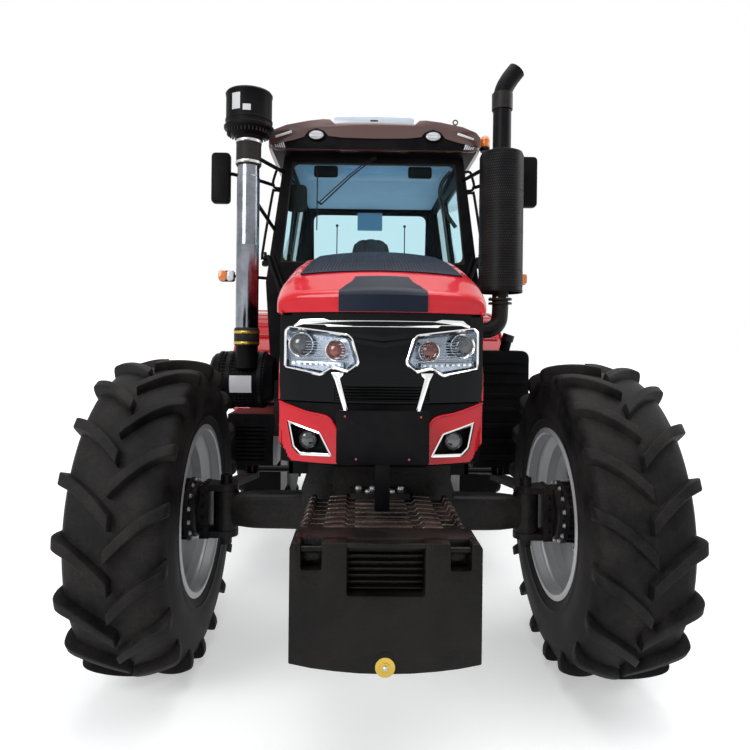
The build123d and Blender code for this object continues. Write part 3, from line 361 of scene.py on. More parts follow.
class Shape:
    """Mesh under construction, in the row frame."""

    def __init__(self) -> None:
        """Start empty."""
        self.mesh = bmesh.new()

    def join(self, mesh: bpy.types.Mesh) -> "Shape":
        """Take in a finished mesh and free it."""
        self.mesh.from_mesh(mesh)
        bpy.data.meshes.remove(mesh)
        return self

    def take(self, made: bmesh.types.BMesh) -> "Shape":
        """Take in a mesh that was under construction and free it."""
        mesh = bpy.data.meshes.new("part")
        made.to_mesh(mesh)
        made.free()
        return self.join(mesh)

    def add(self, *others: "Shape") -> "Shape":
        """Take in other shapes, which are used up."""
        for other in others:
            self.take(other.mesh)
        return self

    def part(self, verts: Iterable[Point], faces: Iterable[Sequence[int]], bevel: float = 0.0,
             turn: Matrix | None = None, segments: int = 2) -> "Shape":
        """Add one closed part.

        Args:
            verts: Its points.
            faces: Its faces, as indices.
            bevel: Radius put on its sharp edges.
            turn: Placement applied last.
            segments: Faces across each rounded edge.

        Returns:
            The same shape.
        """
        made = bmesh.new()
        points = [made.verts.new(v) for v in verts]
        for face in faces:
            made.faces.new([points[i] for i in face])
        bmesh.ops.recalc_face_normals(made, faces=made.faces)
        if bevel:
            sharp = [e for e in made.edges
                     if len(e.link_faces) == 2 and e.calc_face_angle(0) > SHARP_EDGE]
            bmesh.ops.bevel(made, geom=sharp, offset=bevel, segments=segments, profile=0.5,
                            affect="EDGES", clamp_overlap=True)
        if turn is not None:
            made.transform(turn)
        return self.take(made)

    def loft(self, rings: Sequence[Sequence[Point]], bevel: float = 0.0, looped: bool = False,
             turn: Matrix | None = None) -> "Shape":
        """Skin rings of equal length, closed at both ends, or joined end to start when looped."""
        count, size = len(rings), len(rings[0])
        verts = [v for ring in rings for v in ring]
        faces = []
        for i in range(count if looped else count - 1):
            a, b = i * size, ((i + 1) % count) * size
            faces += [(a + j, a + (j + 1) % size, b + (j + 1) % size, b + j) for j in range(size)]
        if not looped:
            faces += [tuple(range(size)), tuple(range((count - 1) * size, count * size))]
        return self.part(verts, faces, bevel, turn)

    def prism(self, outline: Sequence[Pair], axis: Axis, low: float, high: float, bevel: float = 0.0,
              turn: Matrix | None = None) -> "Shape":
        """Draw an outline out along an axis, between two limits."""
        return self.loft([[axis.point(at, *p) for p in outline] for at in (low, high)], bevel, turn=turn)

    def block(self, x: Pair, y: Pair, z: Pair, bevel: float = 0.003,
              turn: Matrix | None = None) -> "Shape":
        """Box with rounded edges between pairs of limits, y behind the front axle."""
        outline = [(aft(y[0]), z[0]), (aft(y[1]), z[0]), (aft(y[1]), z[1]), (aft(y[0]), z[1])]
        return self.prism(outline, Axis.X, x[0], x[1], bevel, turn)

    def lathe(self, profile: Sequence[Pair], axis: Axis, centre: Pair, steps: int = 48,
              looped: bool = False, turn: Matrix | None = None) -> "Shape":
        """Turn a profile about an axis.

        Args:
            profile: Places along the axis, each with a radius; an end of zero radius closes as a pole.
            axis: Direction of the axis.
            centre: The axis's other two coordinates, in order.
            steps: Faces round the axis.
            looped: Whether the profile is a closed loop.
            turn: Placement applied last.

        Returns:
            The same shape.
        """
        verts: list[Point] = []
        rows = []
        for along, radius in profile:
            if radius < 1e-6:
                rows.append([len(verts)] * steps)
                verts.append(axis.point(along, *centre))
                continue
            rows.append(list(range(len(verts), len(verts) + steps)))
            for i in range(steps):
                angle = FULL_TURN * i / steps
                verts.append(axis.point(along, centre[0] + radius * math.sin(angle),
                                        centre[1] + radius * math.cos(angle)))
        faces = []
        for i in range(len(rows) if looped else len(rows) - 1):
            a, b = rows[i], rows[(i + 1) % len(rows)]
            for j in range(steps):
                k = (j + 1) % steps
                faces.append(tuple(dict.fromkeys((a[j], a[k], b[k], b[j]))))
        return self.part(verts, [f for f in faces if len(f) > 2], turn=turn)

    def rod(self, axis: Axis, ends: Pair, radius: float, centre: Pair, steps: int) -> "Shape":
        """Plain round bar between two limits on an axis."""
        low, high = ends
        return self.lathe([(low, 0.0), (low, radius), (high, radius), (high, 0.0)], axis, centre, steps)

    def collar(self, axis: Axis, ends: Pair, radii: Pair, centre: Pair, steps: int) -> "Shape":
        """Plain ring between two limits on an axis and between two radii."""
        (low, high), (inner, outer) = ends, radii
        profile = [(low, inner), (low, outer), (high, outer), (high, inner)]
        return self.lathe(profile, axis, centre, steps, True)

    def tube(self, path: Sequence[Point], radius: float | Sequence[float], sides: int = 14,
             smooth: int = 0) -> "Shape":
        """Round bar along a path.

        Args:
            path: Points of the middle line.
            radius: Radius, or one for each point.
            sides: Faces round the bar.
            smooth: Points put between each pair, on a curve through them all.

        Returns:
            The same shape.
        """
        line = [Vector(p) for p in path]
        radii = [radius] * len(line) if isinstance(radius, (int, float)) else list(radius)
        if smooth:
            line, radii = self.curve(line, radii, smooth)
        side = Vector((0, 0, 1))
        rings = []
        for i, at in enumerate(line):
            ahead = (line[min(i + 1, len(line) - 1)] - line[max(i - 1, 0)]).normalized()
            if i == 0 and abs(ahead.dot(side)) > 0.9:
                side = Vector((0, 1, 0))
            side = (side - ahead * side.dot(ahead)).normalized()
            other = ahead.cross(side)
            rings.append([at + (side * math.cos(a) + other * math.sin(a)) * radii[i]
                          for a in (FULL_TURN * k / sides for k in range(sides))])
        return self.loft(rings)

    @staticmethod
    def curve(line: list[Vector], radii: list[float], steps: int) -> tuple[list[Vector], list[float]]:
        """A smooth line through points, with its radii."""
        points, sizes = [], []
        for i in range(len(line) - 1):
            a, b, c, d = (line[max(0, min(len(line) - 1, i + k))] for k in (-1, 0, 1, 2))
            for k in range(steps):
                t = k / steps
                points.append(0.5 * (2 * b + (c - a) * t + (2 * a - 5 * b + 4 * c - d) * t * t
                                     + (3 * b - a - 3 * c + d) * t ** 3))
                sizes.append(radii[i] + (radii[i + 1] - radii[i]) * t)
        return points + [line[-1]], sizes + [radii[-1]]

    def skin(self, rows: Sequence[Sequence[Point]], thick: float) -> "Shape":
        """Open grid of points given a thickness behind its face, with its edges closed."""
        made = bmesh.new()
        grid = [[made.verts.new(p) for p in row] for row in rows]
        for a, b in zip(grid, grid[1:]):
            for j in range(len(a) - 1):
                made.faces.new((a[j], a[j + 1], b[j + 1], b[j]))
        made.normal_update()
        top = list(made.faces)
        normals = {v: v.normal.copy() for row in grid for v in row}
        twin = {v: made.verts.new(v.co - normals[v] * thick) for row in grid for v in row}
        for face in top:
            made.faces.new([twin[v] for v in reversed(face.verts)])
        rim = [e for e in made.edges if len(e.link_faces) == 1 and all(v in twin for v in e.verts)]
        for edge in rim:
            a, b = edge.verts
            made.faces.new((a, b, twin[b], twin[a]))
        bmesh.ops.recalc_face_normals(made, faces=made.faces)
        return self.take(made)

    def mirror(self) -> "Shape":
        """Add the same on the tractor's other side."""
        mesh = self.copy_mesh()
        mesh.transform(FLIP)
        mesh.flip_normals()
        return self.join(mesh)

    def flip(self) -> "Shape":
        """Move the shape to the tractor's other side."""
        return self.mirrored(FLIP)

    def mirrored(self, flip: Matrix) -> "Shape":
        """Move the shape by a placement that turns it inside out, and set its faces right."""
        self.mesh.transform(flip)
        bmesh.ops.reverse_faces(self.mesh, faces=self.mesh.faces)
        return self

    def copy_mesh(self) -> bpy.types.Mesh:
        """A plain mesh of the shape as it is."""
        mesh = bpy.data.meshes.new("shape")
        self.mesh.to_mesh(mesh)
        return mesh

    def piece(self, name: str, finish: Finish, body: str, slot: str, stands_for: Sequence[str] = (),
              smooth: float = 35.0) -> bpy.types.Object:
        """Make the shape an object that rides on a body.

        Args:
            name: Name of the piece.
            finish: Its finish.
            body: Body that it rides on.
            slot: Name of its material slot; not used.
            stands_for: CAD nodes that it replaces.
            smooth: Largest angle that is shaded smooth, in degrees.

        Returns:
            The object.
        """
        mesh = self.copy_mesh()
        self.mesh.free()
        mesh.name = name
        mesh.materials.clear()
        mesh.materials.append(finish.material())
        mesh.polygons.foreach_set("material_index", [0] * len(mesh.polygons))
        mesh.shade_smooth()
        mesh.set_sharp_from_angle(angle=math.radians(smooth))
        made = bpy.data.objects.new(name, mesh)
        bpy.context.scene.collection.objects.link(made)
        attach(made, body)
        if stands_for:
            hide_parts(*stands_for)
        log.info("piece %s on %s, %d faces", name, body, len(mesh.polygons))
        return made


@dataclass(frozen=True)
class Pattern:
    """A shape repeated in columns and rows by a Geometry Nodes tree.

    Attributes:
        columns: How many in a row or ring.
        rows: How many rows or rings.
        column_step: Move from one column to the next.
        row_step: Move from one row to the next.
        column_turn: Turn from one column to the next, about X, Y and Z.
        row_turn: Turn from one row to the next.
        centre: Point that the turns are about.
        jitter: Largest random turn about each axis.
    """

    columns: int
    rows: int = 1
    column_step: Point = (0.0, 0.0, 0.0)
    row_step: Point = (0.0, 0.0, 0.0)
    column_turn: Point = (0.0, 0.0, 0.0)
    row_turn: Point = (0.0, 0.0, 0.0)
    centre: Point = (0.0, 0.0, 0.0)
    jitter: float = 0.0

    @staticmethod
    def around(count: int, axis: Axis, centre: Point) -> "Pattern":
        """Copies evenly spaced round an axis through a point."""
        turn = tuple(axis.point(FULL_TURN / count, 0.0, 0.0))
        return Pattern(count, column_turn=turn, centre=centre)

    @staticmethod
    def tree() -> bpy.types.NodeTree:
        """The node tree, made once, with a named input for each size."""
        known = bpy.data.node_groups.get("repeat_pattern")
        if known:
            return known
        tree = bpy.data.node_groups.new("repeat_pattern", "GeometryNodeTree")
        face = tree.interface
        face.new_socket("Geometry", in_out="INPUT", socket_type="NodeSocketGeometry")
        face.new_socket("Geometry", in_out="OUTPUT", socket_type="NodeSocketGeometry")
        for name, kind in (("Columns", "Int"), ("Rows", "Int"), ("Column Step", "Vector"),
                           ("Row Step", "Vector"), ("Column Turn", "Vector"), ("Row Turn", "Vector"),
                           ("Centre", "Vector"), ("Jitter", "Float"), ("Seed", "Int"),
                           ("Material", "Material")):
            face.new_socket(name, in_out="INPUT", socket_type="NodeSocket" + kind)
        given = tree.nodes.new("NodeGroupInput").outputs

        def node(kind: str, values: dict[str | int, object], **settings: str) -> bpy.types.Node:
            """Add a node with its settings, and link or set its inputs."""
            made = tree.nodes.new(kind)
            for key, value in settings.items():
                setattr(made, key, value)
            for key, value in values.items():
                if isinstance(value, bpy.types.NodeSocket):
                    tree.links.new(value, made.inputs[key])
                else:
                    made.inputs[key].default_value = value
            return made

        def scaled(vector: bpy.types.NodeSocket, by: object) -> bpy.types.NodeSocket:
            """A vector times a number."""
            return node("ShaderNodeVectorMath", {0: vector, 3: by}, operation="SCALE").outputs[0]

        def summed(first: bpy.types.NodeSocket, second: bpy.types.NodeSocket) -> bpy.types.NodeSocket:
            """Two vectors added."""
            return node("ShaderNodeVectorMath", {0: first, 1: second}, operation="ADD").outputs[0]

        index = tree.nodes.new("GeometryNodeInputIndex").outputs[0]
        column = node("ShaderNodeMath", {0: index, 1: given["Columns"]}, operation="MODULO").outputs[0]
        share = node("ShaderNodeMath", {0: index, 1: given["Columns"]}, operation="DIVIDE").outputs[0]
        lifted = node("ShaderNodeMath", {0: share, 1: 1e-4}, operation="ADD").outputs[0]
        row = node("ShaderNodeMath", {0: lifted}, operation="FLOOR").outputs[0]
        total = node("ShaderNodeMath", {0: given["Columns"], 1: given["Rows"]},
                     operation="MULTIPLY").outputs[0]
        points = node("GeometryNodeMeshLine", {"Count": total, "Offset": (0.0, 0.0, 0.0)})
        move = summed(summed(scaled(given["Column Step"], column), scaled(given["Row Step"], row)),
                      given["Centre"])
        turn = summed(scaled(given["Column Turn"], column), scaled(given["Row Turn"], row))
        low = scaled(given["Jitter"], -1.0)
        random = node("FunctionNodeRandomValue", {"Seed": given["Seed"], 0: low, 1: given["Jitter"]},
                      data_type="FLOAT_VECTOR").outputs[0]
        rotation = node("FunctionNodeEulerToRotation", {0: summed(turn, random)}).outputs[0]
        moved = node("GeometryNodeSetPosition", {"Geometry": points.outputs[0], "Offset": move})
        source = node("GeometryNodeTransform", {"Geometry": given["Geometry"],
                                                "Translation": scaled(given["Centre"], -1.0)})
        spread = node("GeometryNodeInstanceOnPoints",
                      {"Points": moved.outputs[0], "Instance": source.outputs[0],
                       "Rotation": rotation})
        real = node("GeometryNodeRealizeInstances", {0: spread.outputs[0]})
        dressed = node("GeometryNodeSetMaterial",
                       {"Geometry": real.outputs[0], "Material": given["Material"]})
        tree.links.new(dressed.outputs[0], tree.nodes.new("NodeGroupOutput").inputs[0])
        return tree

    def spread(self, source: Shape, finish: Finish) -> bpy.types.Mesh:
        """Repeat a shape.

        Args:
            source: Shape to repeat, in its first place; it is used up.
            finish: Finish that the tree sets.

        Returns:
            The plain mesh of every copy.
        """
        mesh = source.copy_mesh()
        source.mesh.free()
        holder = bpy.data.objects.new("pattern", mesh)
        bpy.context.scene.collection.objects.link(holder)
        nodes = holder.modifiers.new("repeat", "NODES")
        nodes.node_group = self.tree()
        values = {"Columns": self.columns, "Rows": self.rows, "Column Step": self.column_step,
                  "Row Step": self.row_step, "Column Turn": self.column_turn, "Row Turn": self.row_turn,
                  "Centre": self.centre, "Jitter": self.jitter, "Seed": SEED,
                  "Material": finish.material()}
        for socket in nodes.node_group.interface.items_tree:
            if socket.in_out == "INPUT" and socket.name in values:
                value = values[socket.name]
                nodes[socket.identifier] = value if isinstance(value, (int, float, bpy.types.ID)) else \
                    [float(v) for v in value]
        holder.update_tag()
        ready = holder.evaluated_get(bpy.context.evaluated_depsgraph_get())
        result = bpy.data.meshes.new_from_object(ready)
        bpy.data.objects.remove(holder)
        bpy.data.meshes.remove(mesh)
        return result


def smooth_rows(rows: Sequence[Point], steps: int) -> list[Vector]:
    """Rows of sizes with smooth ones put between them."""
    line = [Vector(row) for row in rows]
    return Shape.curve(line, [0.0] * len(line), steps)[0]


def bolt(at: Point, axis: Axis, out: float, radius: float) -> Shape:
    """Hexagon bolt with its washer.

    Args:
        at: Middle of the seat under its head.
        axis: Axis that it is driven along.
        out: 1 when its head faces the positive way, or -1.
        radius: Radius of its head.

    Returns:
        The shape.
    """
    others = [v for i, v in enumerate(at) if i != axis.value]
    base = at[axis.value]
    washer = [(base - out * radius * 0.2, 0.0), (base - out * radius * 0.2, radius * 1.35),
              (base + out * radius * 0.18, radius * 1.35), (base + out * radius * 0.18, 0.0)]
    head = [(base + out * radius * 0.1, 0.0), (base + out * radius * 0.1, radius),
            (base + out * radius * 0.75, radius), (base + out * radius * 0.95, radius * 0.8),
            (base + out * radius * 0.95, 0.0)]
    return Shape().lathe(washer, axis, others, 14).lathe(head, axis, others, 6)


# x over width and depth below the tread at the bar's foot, the same at its top, run round the tyre,
# width
TREAD_BAR = [(-0.020, 0.046, -0.014, 0.0020, 0.000, 0.054), (0.100, 0.047, 0.100, 0.0028, 0.054, 0.052),
             (0.220, 0.050, 0.220, 0.0055, 0.102, 0.049), (0.330, 0.057, 0.330, 0.0110, 0.138, 0.047),
             (0.400, 0.066, 0.424, 0.0200, 0.158, 0.047), (0.436, 0.084, 0.480, 0.0330, 0.170, 0.049),
             (0.452, 0.100, 0.496, 0.0520, 0.176, 0.050), (0.458, 0.114, 0.494, 0.0800, 0.180, 0.050)]


@dataclass(frozen=True)
class Wheel:
    """One axle's pair of wheels: tyre with its bars, rim, disc and hub.

    Attributes:
        name: front or rear.
        bead: Radius of the rim.
        hub: Radius of the hub drum.
        bars: Tread bars on each half of the tread.
        studs: Nuts that hold the disc.
    """

    name: str
    bead: float
    hub: float
    bars: int
    studs: int

    @property
    def box(self) -> tuple[Vector, Vector]:
        """Corners of the left tyre."""
        return corners(f"{self.name}_tyre_left")

    @property
    def outer(self) -> float:
        """Radius over the bars."""
        return self.box[1].z / 2

    @property
    def width(self) -> float:
        """Width of the tyre."""
        return self.box[1].x - self.box[0].x

    @property
    def centre(self) -> Vector:
        """Middle of the left tyre."""
        return (self.box[0] + self.box[1]) / 2

    @property
    def axle(self) -> Pair:
        """Y and Z of the axle."""
        return self.centre.y, self.centre.z

    def turned(self, profile: Sequence[Pair], steps: int = 96, looped: bool = True) -> Shape:
        """Turn a profile, given outward from the tyre's middle, about the axle."""
        moved = [(self.centre.x + a, r) for a, r in profile]
        return Shape().lathe(moved, Axis.X, self.axle, steps, looped)

    def carcass(self) -> Shape:
        """Casing of the tyre, hollow, with raised rings on its sidewalls."""
        w, top, bead = self.width, self.outer, self.bead
        half = [(0.412, bead + 0.004), (0.424, bead + 0.022), (0.440, bead + 0.040),
                (0.452, bead + 0.058), (0.460, bead + 0.060), (0.462, bead + 0.068),
                (0.459, bead + 0.071), (0.468, bead + 0.092), (0.475, bead + 0.115),
                (0.480, (bead + top) / 2), (0.474, top - 0.160), (0.4745, top - 0.148),
                (0.468, top - 0.140), (0.462, top - 0.112), (0.440, top - 0.082), (0.400, top - 0.063),
                (0.330, top - 0.054), (0.220, top - 0.047), (0.100, top - 0.044)]
        outside = half + [(0.0, top - 0.043)] + other_side(half)
        bore = [(-0.38, bead + 0.004), (-0.43, (bead + top) / 2), (-0.36, top - 0.10), (0.0, top - 0.07)]
        return self.turned([(a * w, r) for a, r in outside + bore + other_side(bore[:-1])], 132)

    def bar(self) -> Shape:
        """One tread bar on the outer half, its middle end lowest at the front of the wheel."""
        rings = []
        for foot_x, foot_d, top_x, top_d, run, wide in smooth_rows(TREAD_BAR, 3):
            ring = []
            for side, grow, lift in ((-1, 0.010, -0.12), (-1, 0.001, 0.92), (-1, -0.003, 1.0),
                                     (1, -0.003, 1.0), (1, 0.001, 0.92), (1, 0.010, -0.12)):
                x = (foot_x + (top_x - foot_x) * lift) * self.width
                radius = self.outer - foot_d + (foot_d - top_d) * lift
                angle = (side * (wide / 2 + grow) - run) / self.outer
                ring.append((self.centre.x + x, self.axle[0] - radius * math.sin(angle),
                             self.axle[1] + radius * math.cos(angle)))
            rings.append(ring)
        return Shape().loft(rings, bevel=0.003)

    def tyre(self, side: str) -> None:
        """Build one tyre with both halves of its tread."""
        ring = Pattern.around(self.bars, Axis.X, self.centre)
        mirror = about((self.centre.x, 0, 0), FLIP)
        shift = about(self.centre, Matrix.Rotation(FULL_TURN / self.bars / 2, 4, "X"))
        inner = self.bar().mirrored(shift @ mirror)
        whole = self.carcass().join(ring.spread(self.bar(), RUBBER)).join(ring.spread(inner, RUBBER))
        self.place(whole, side).piece(f"tyre_{self.name}_{side}", RUBBER,
                                      f"{self.name}_wheel_{side}", "tyre",
                                      [f"{self.name}_tyre_{side}"], 40)

    @staticmethod
    def place(shape: Shape, side: str) -> Shape:
        """The shape on its own side of the tractor."""
        return shape if side == "left" else shape.flip()

    def rim(self, side: str) -> None:
        """Build the rolled rim with its dished disc."""
        half, r = 0.44 * self.width, self.bead
        out = [(half - 0.001, r + 0.012), (half - 0.004, r + 0.021), (half - 0.010, r + 0.019),
               (half - 0.012, r), (half - 0.045, r - 0.004), (half - 0.050, r + 0.004),
               (half - 0.062, r + 0.003), (half - 0.072, r - 0.004), (half - 0.092, r - 0.034)]
        under = [(a + (0.001 if i < 3 else -0.004), q - 0.0095) for i, (a, q) in enumerate(out)]
        under[:3] = [(half, r + 0.004), (half - 0.001, r - 0.004), (half - 0.008, r - 0.0095)]
        whole = self.turned(out + other_side(out) + other_side(under[::-1]) + under[::-1])
        drop, hub = r - 0.042, self.hub
        dish = [(-0.046, hub - 0.06), (-0.046, hub + 0.06), (-0.040, hub + 0.075), (-0.036, drop - 0.05),
                (-0.044, drop - 0.02), (-0.047, drop), (-0.035, drop), (-0.032, drop - 0.022),
                (-0.026, drop - 0.05), (-0.029, hub + 0.08), (-0.034, hub + 0.06), (-0.034, hub - 0.06)]
        whole.add(self.turned(dish))
        middle = (hub + 0.07 + drop - 0.045) / 2
        boss = [(self.centre.x - 0.036, 0.052), (self.centre.x - 0.028, 0.050),
                (self.centre.x - 0.024, 0.040), (self.centre.x - 0.029, 0.034),
                (self.centre.x - 0.033, 0.030)]
        pressed = Shape().lathe(boss, Axis.X, (self.axle[0], self.axle[1] + middle), 24, True)
        whole.join(Pattern.around(8, Axis.X, self.centre).spread(pressed, SILVER))
        valve = (self.centre.x + 0.02, self.axle[0], self.axle[1] + r - 0.075)
        whole.tube([valve, (valve[0] + 0.04, valve[1], valve[2] - 0.008)], 0.005, 8)
        self.place(whole, side).piece(f"rim_{self.name}_{side}", SILVER, f"{self.name}_wheel_{side}",
                                      "rim_silver", [f"{self.name}_rim_{side}"])

    def hub_drum(self, side: str) -> None:
        """Build the hub drum inboard, the planet case outboard, and their bolts."""
        r, x = self.hub, self.centre.x
        drum = [(-0.177, 0.082), (-0.177, r - 0.030), (-0.170, r - 0.024), (-0.150, r - 0.022),
                (-0.148, r - 0.004), (-0.128, r - 0.002), (-0.126, r - 0.016), (-0.080, r - 0.020),
                (-0.068, r), (-0.047, r), (-0.047, 0.082)]
        case = [(-0.033, 0.0), (-0.033, r - 0.004), (-0.018, r - 0.004), (-0.014, r - 0.022),
                (0.016, r - 0.030), (0.030, r - 0.046), (0.036, r - 0.075), (0.036, 0.040),
                (0.044, 0.034), (0.044, 0.0)]
        whole = self.turned(drum, 64).add(self.turned(case, 64, False))
        rib = Shape().block((x - 0.145, x - 0.05), (0, 0.012), (0, 0.02), 0.002)
        top = (0, behind(self.axle[0]) - 0.006, self.axle[1] + r - 0.026)
        rib.mesh.transform(Matrix.Translation(top))
        whole.join(Pattern.around(16, Axis.X, self.centre).spread(rib, STEEL))
        self.place(whole, side).piece(f"hub_{self.name}_{side}", STEEL, f"{self.name}_wheel_{side}",
                                      "black_steel", smooth=30)
        nuts = Shape()
        for count, at, radius, size, out in ((self.studs, x - 0.033, r + 0.035, 0.017, 1),
                                             (self.studs, x - 0.048, r + 0.035, 0.015, -1),
                                             (14, x - 0.014, r - 0.013, 0.009, 1),
                                             (14, x - 0.150, r - 0.013, 0.009, -1)):
            one = bolt((at, self.axle[0], self.axle[1] + radius), Axis.X, out, size)
            nuts.join(Pattern.around(count, Axis.X, self.centre).spread(one, BRIGHT))
        self.place(nuts, side).piece(f"nuts_{self.name}_{side}", BRIGHT, f"{self.name}_wheel_{side}",
                                     "bright_steel", smooth=30)

    def build(self) -> None:
        """Build both wheels."""
        for side, _ in SIDES:
            self.tyre(side)
            self.rim(side)
            self.hub_drum(side)


@dataclass(frozen=True)
class Studio:
    """Floor, world, lamps and camera.

    Attributes:
        eye: Place of the camera.
        lens: Focal length in millimetres on a 36 mm sensor.
        shift: Sideways and upward shift of the lens.
        yaw: Turn to the right of straight ahead, in radians.
        roll: Turn about the line of sight, in radians.
        sky: Colour of the even light.
        sky_power: Strength of the even light.
        floor_half: Half the width of the floor.
        fade: Distances between which the floor turns white, and its glow at each.
        lamps: Name, place, aim, size and power of each lamp.
    """

    eye: Point = (-0.0921, -4.3886, 1.5036)
    lens: float = 29.69
    shift: Pair = (0.01379, -0.038)
    yaw: float = 0.0094
    roll: float = 0.0112
    sky: tuple[float, ...] = (0.93, 0.97, 1.0, 1.0)
    sky_power: float = 0.42
    floor_half: float = 60.0
    fade: tuple[float, ...] = (2.5, 12.0, 0.42, 1.0)
    lamps: tuple[tuple[str, Point, Point, float, float], ...] = (
        ("overhead", (0.5, -1.0, 7.5), (0.0, 0.0, 1.0), 6.0, 330.0),
        ("front", (-5.0, -7.5, 5.0), (0.0, -1.0, 1.2), 4.0, 400.0),
        ("side", (7.0, 1.0, 4.5), (0.0, 0.0, 1.2), 4.0, 160.0))

    def camera(self) -> None:
        """Set the camera that looks along the tractor from ahead."""
        data = bpy.data.cameras.new("camera")
        data.lens = self.lens
        data.sensor_width = 36.0
        data.shift_x, data.shift_y = self.shift
        data.clip_end = 200.0
        made = bpy.data.objects.new("camera", data)
        made.matrix_world = Matrix.Translation(self.eye) @ Matrix.Rotation(-self.yaw, 4, "Z") @ \
            Matrix.Rotation(math.pi / 2, 4, "X") @ Matrix.Rotation(self.roll, 4, "Z")
        bpy.context.scene.collection.objects.link(made)
        bpy.context.scene.camera = made

    @staticmethod
    def seen(tree: bpy.types.NodeTree) -> bpy.types.NodeSocket:
        """Socket that is 1 for camera, mirror and glass rays."""
        path = tree.nodes.new("ShaderNodeLightPath").outputs
        first = Finish.math(tree, "MAXIMUM", path["Is Camera Ray"], path["Is Glossy Ray"])
        return Finish.math(tree, "MAXIMUM", first, path["Is Transmission Ray"])

    def world(self) -> None:
        """Light evenly, and show as white."""
        world = bpy.data.worlds.new("studio")
        bpy.context.scene.world = world
        world.use_nodes = True
        tree = world.node_tree
        light = tree.nodes["Background"]
        light.inputs["Color"].default_value = self.sky
        light.inputs["Strength"].default_value = self.sky_power
        shown = tree.nodes.new("ShaderNodeBackground")
        shown.inputs["Color"].default_value = WHITE_LIGHT
        mix = tree.nodes.new("ShaderNodeMixShader")
        tree.links.new(self.seen(tree), mix.inputs[0])
        tree.links.new(light.outputs[0], mix.inputs[1])
        tree.links.new(shown.outputs[0], mix.inputs[2])
        tree.links.new(mix.outputs[0], tree.nodes["World Output"].inputs[0])

    def floor(self) -> None:
        """Lay the pale floor that keeps the tractor's shadow."""
        mesh = bpy.data.meshes.new("floor")
        size = self.floor_half
        square = ((-size, -size), (size, -size), (size, size), (-size, size))
        mesh.from_pydata([(x, y, -0.001) for x, y in square], [], [(0, 1, 2, 3)])
        made = bpy.data.objects.new("floor", mesh)
        bpy.context.scene.collection.objects.link(made)
        material = bpy.data.materials.new("floor_pale")
        material.use_nodes = True
        tree = material.node_tree
        shader = tree.nodes["Principled BSDF"]
        shader.inputs["Base Color"].default_value = (0.82, 0.82, 0.82, 1.0)
        shader.inputs["Roughness"].default_value = 0.9
        shader.inputs["Emission Color"].default_value = WHITE_LIGHT
        away = tree.nodes.new("ShaderNodeVectorMath")
        away.operation = "LENGTH"
        tree.links.new(tree.nodes.new("ShaderNodeTexCoord").outputs["Object"], away.inputs[0])
        fade = tree.nodes.new("ShaderNodeMapRange")
        tree.links.new(away.outputs["Value"], fade.inputs["Value"])
        for name, value in zip(("From Min", "From Max", "To Min", "To Max"), self.fade):
            fade.inputs[name].default_value = value
        strength = Finish.math(tree, "MULTIPLY", self.seen(tree), fade.outputs["Result"])
        tree.links.new(strength, shader.inputs["Emission Strength"])
        mesh.materials.append(material)

    @staticmethod
    def lamp(name: str, at: Point, aim: Point, size: float, power: float) -> None:
        """Hang one square soft lamp, turned to a point."""
        data = bpy.data.lights.new(name, "AREA")
        data.size = size
        data.energy = power
        made = bpy.data.objects.new(name, data)
        turn = (Vector(aim) - Vector(at)).to_track_quat("-Z", "Y")
        made.matrix_world = Matrix.Translation(at) @ turn.to_matrix().to_4x4()
        bpy.context.scene.collection.objects.link(made)

    def build(self) -> None:
        """Set up the whole studio."""
        bpy.context.scene.view_settings.view_transform = "Standard"
        self.camera()
        self.world()
        self.floor()
        for lamp in self.lamps:
            self.lamp(*lamp)


def inside(outline: Sequence[Pair], x: float, z: float) -> bool:
    """Whether a point lies inside an outline."""
    result = False
    for (x1, z1), (x2, z2) in zip(outline, list(outline[1:]) + [outline[0]]):
        if (z1 > z) != (z2 > z) and x < (x2 - x1) * (z - z1) / (z2 - z1) + x1:
            result = not result
    return result


def inset(outline: Sequence[Pair], by: float) -> list[Pair]:
    """An outline moved inward, or outward when negative, by a distance at every corner."""
    area = sum(a[0] * b[1] - b[0] * a[1] for a, b in zip(outline, list(outline[1:]) + [outline[0]]))
    turn = 1 if area > 0 else -1
    result = []
    for i, here in enumerate(outline):
        before, after = Vector(outline[i - 1]), Vector(outline[(i + 1) % len(outline)])
        one, two = (Vector(here) - before).normalized(), (after - Vector(here)).normalized()
        normal = Vector((-one.y, one.x)) * turn + Vector((-two.y, two.x)) * turn
        reach = by / max(0.35, normal.length / 2) if normal.length > 1e-6 else by
        result.append(tuple(Vector(here) + normal.normalized() * reach))
    return result


def fine(outline: Sequence[Pair], step: float = 0.02) -> list[Pair]:
    """An outline with points added along its edges."""
    result = []
    for a, b in zip(outline, list(outline[1:]) + [outline[0]]):
        count = max(1, round(math.dist(a, b) / step))
        result += [tuple(p + (q - p) * k / count for p, q in zip(a, b)) for k in range(count)]
    return result


def rounded(outline: Sequence[Pair], radius: float, steps: int = 4) -> list[Pair]:
    """An outline with its corners rounded."""
    result = []
    for i, here in enumerate(outline):
        a, b = Vector(outline[i - 1]), Vector(outline[(i + 1) % len(outline)])
        corner = Vector(here)
        reach = min(radius, (a - corner).length / 2.2, (b - corner).length / 2.2)
        start, end = (corner + (p - corner).normalized() * reach for p in (a, b))
        for k in range(steps + 1):
            t = k / steps
            result.append(tuple(start * (1 - t) ** 2 + corner * 2 * t * (1 - t) + end * t * t))
    return result


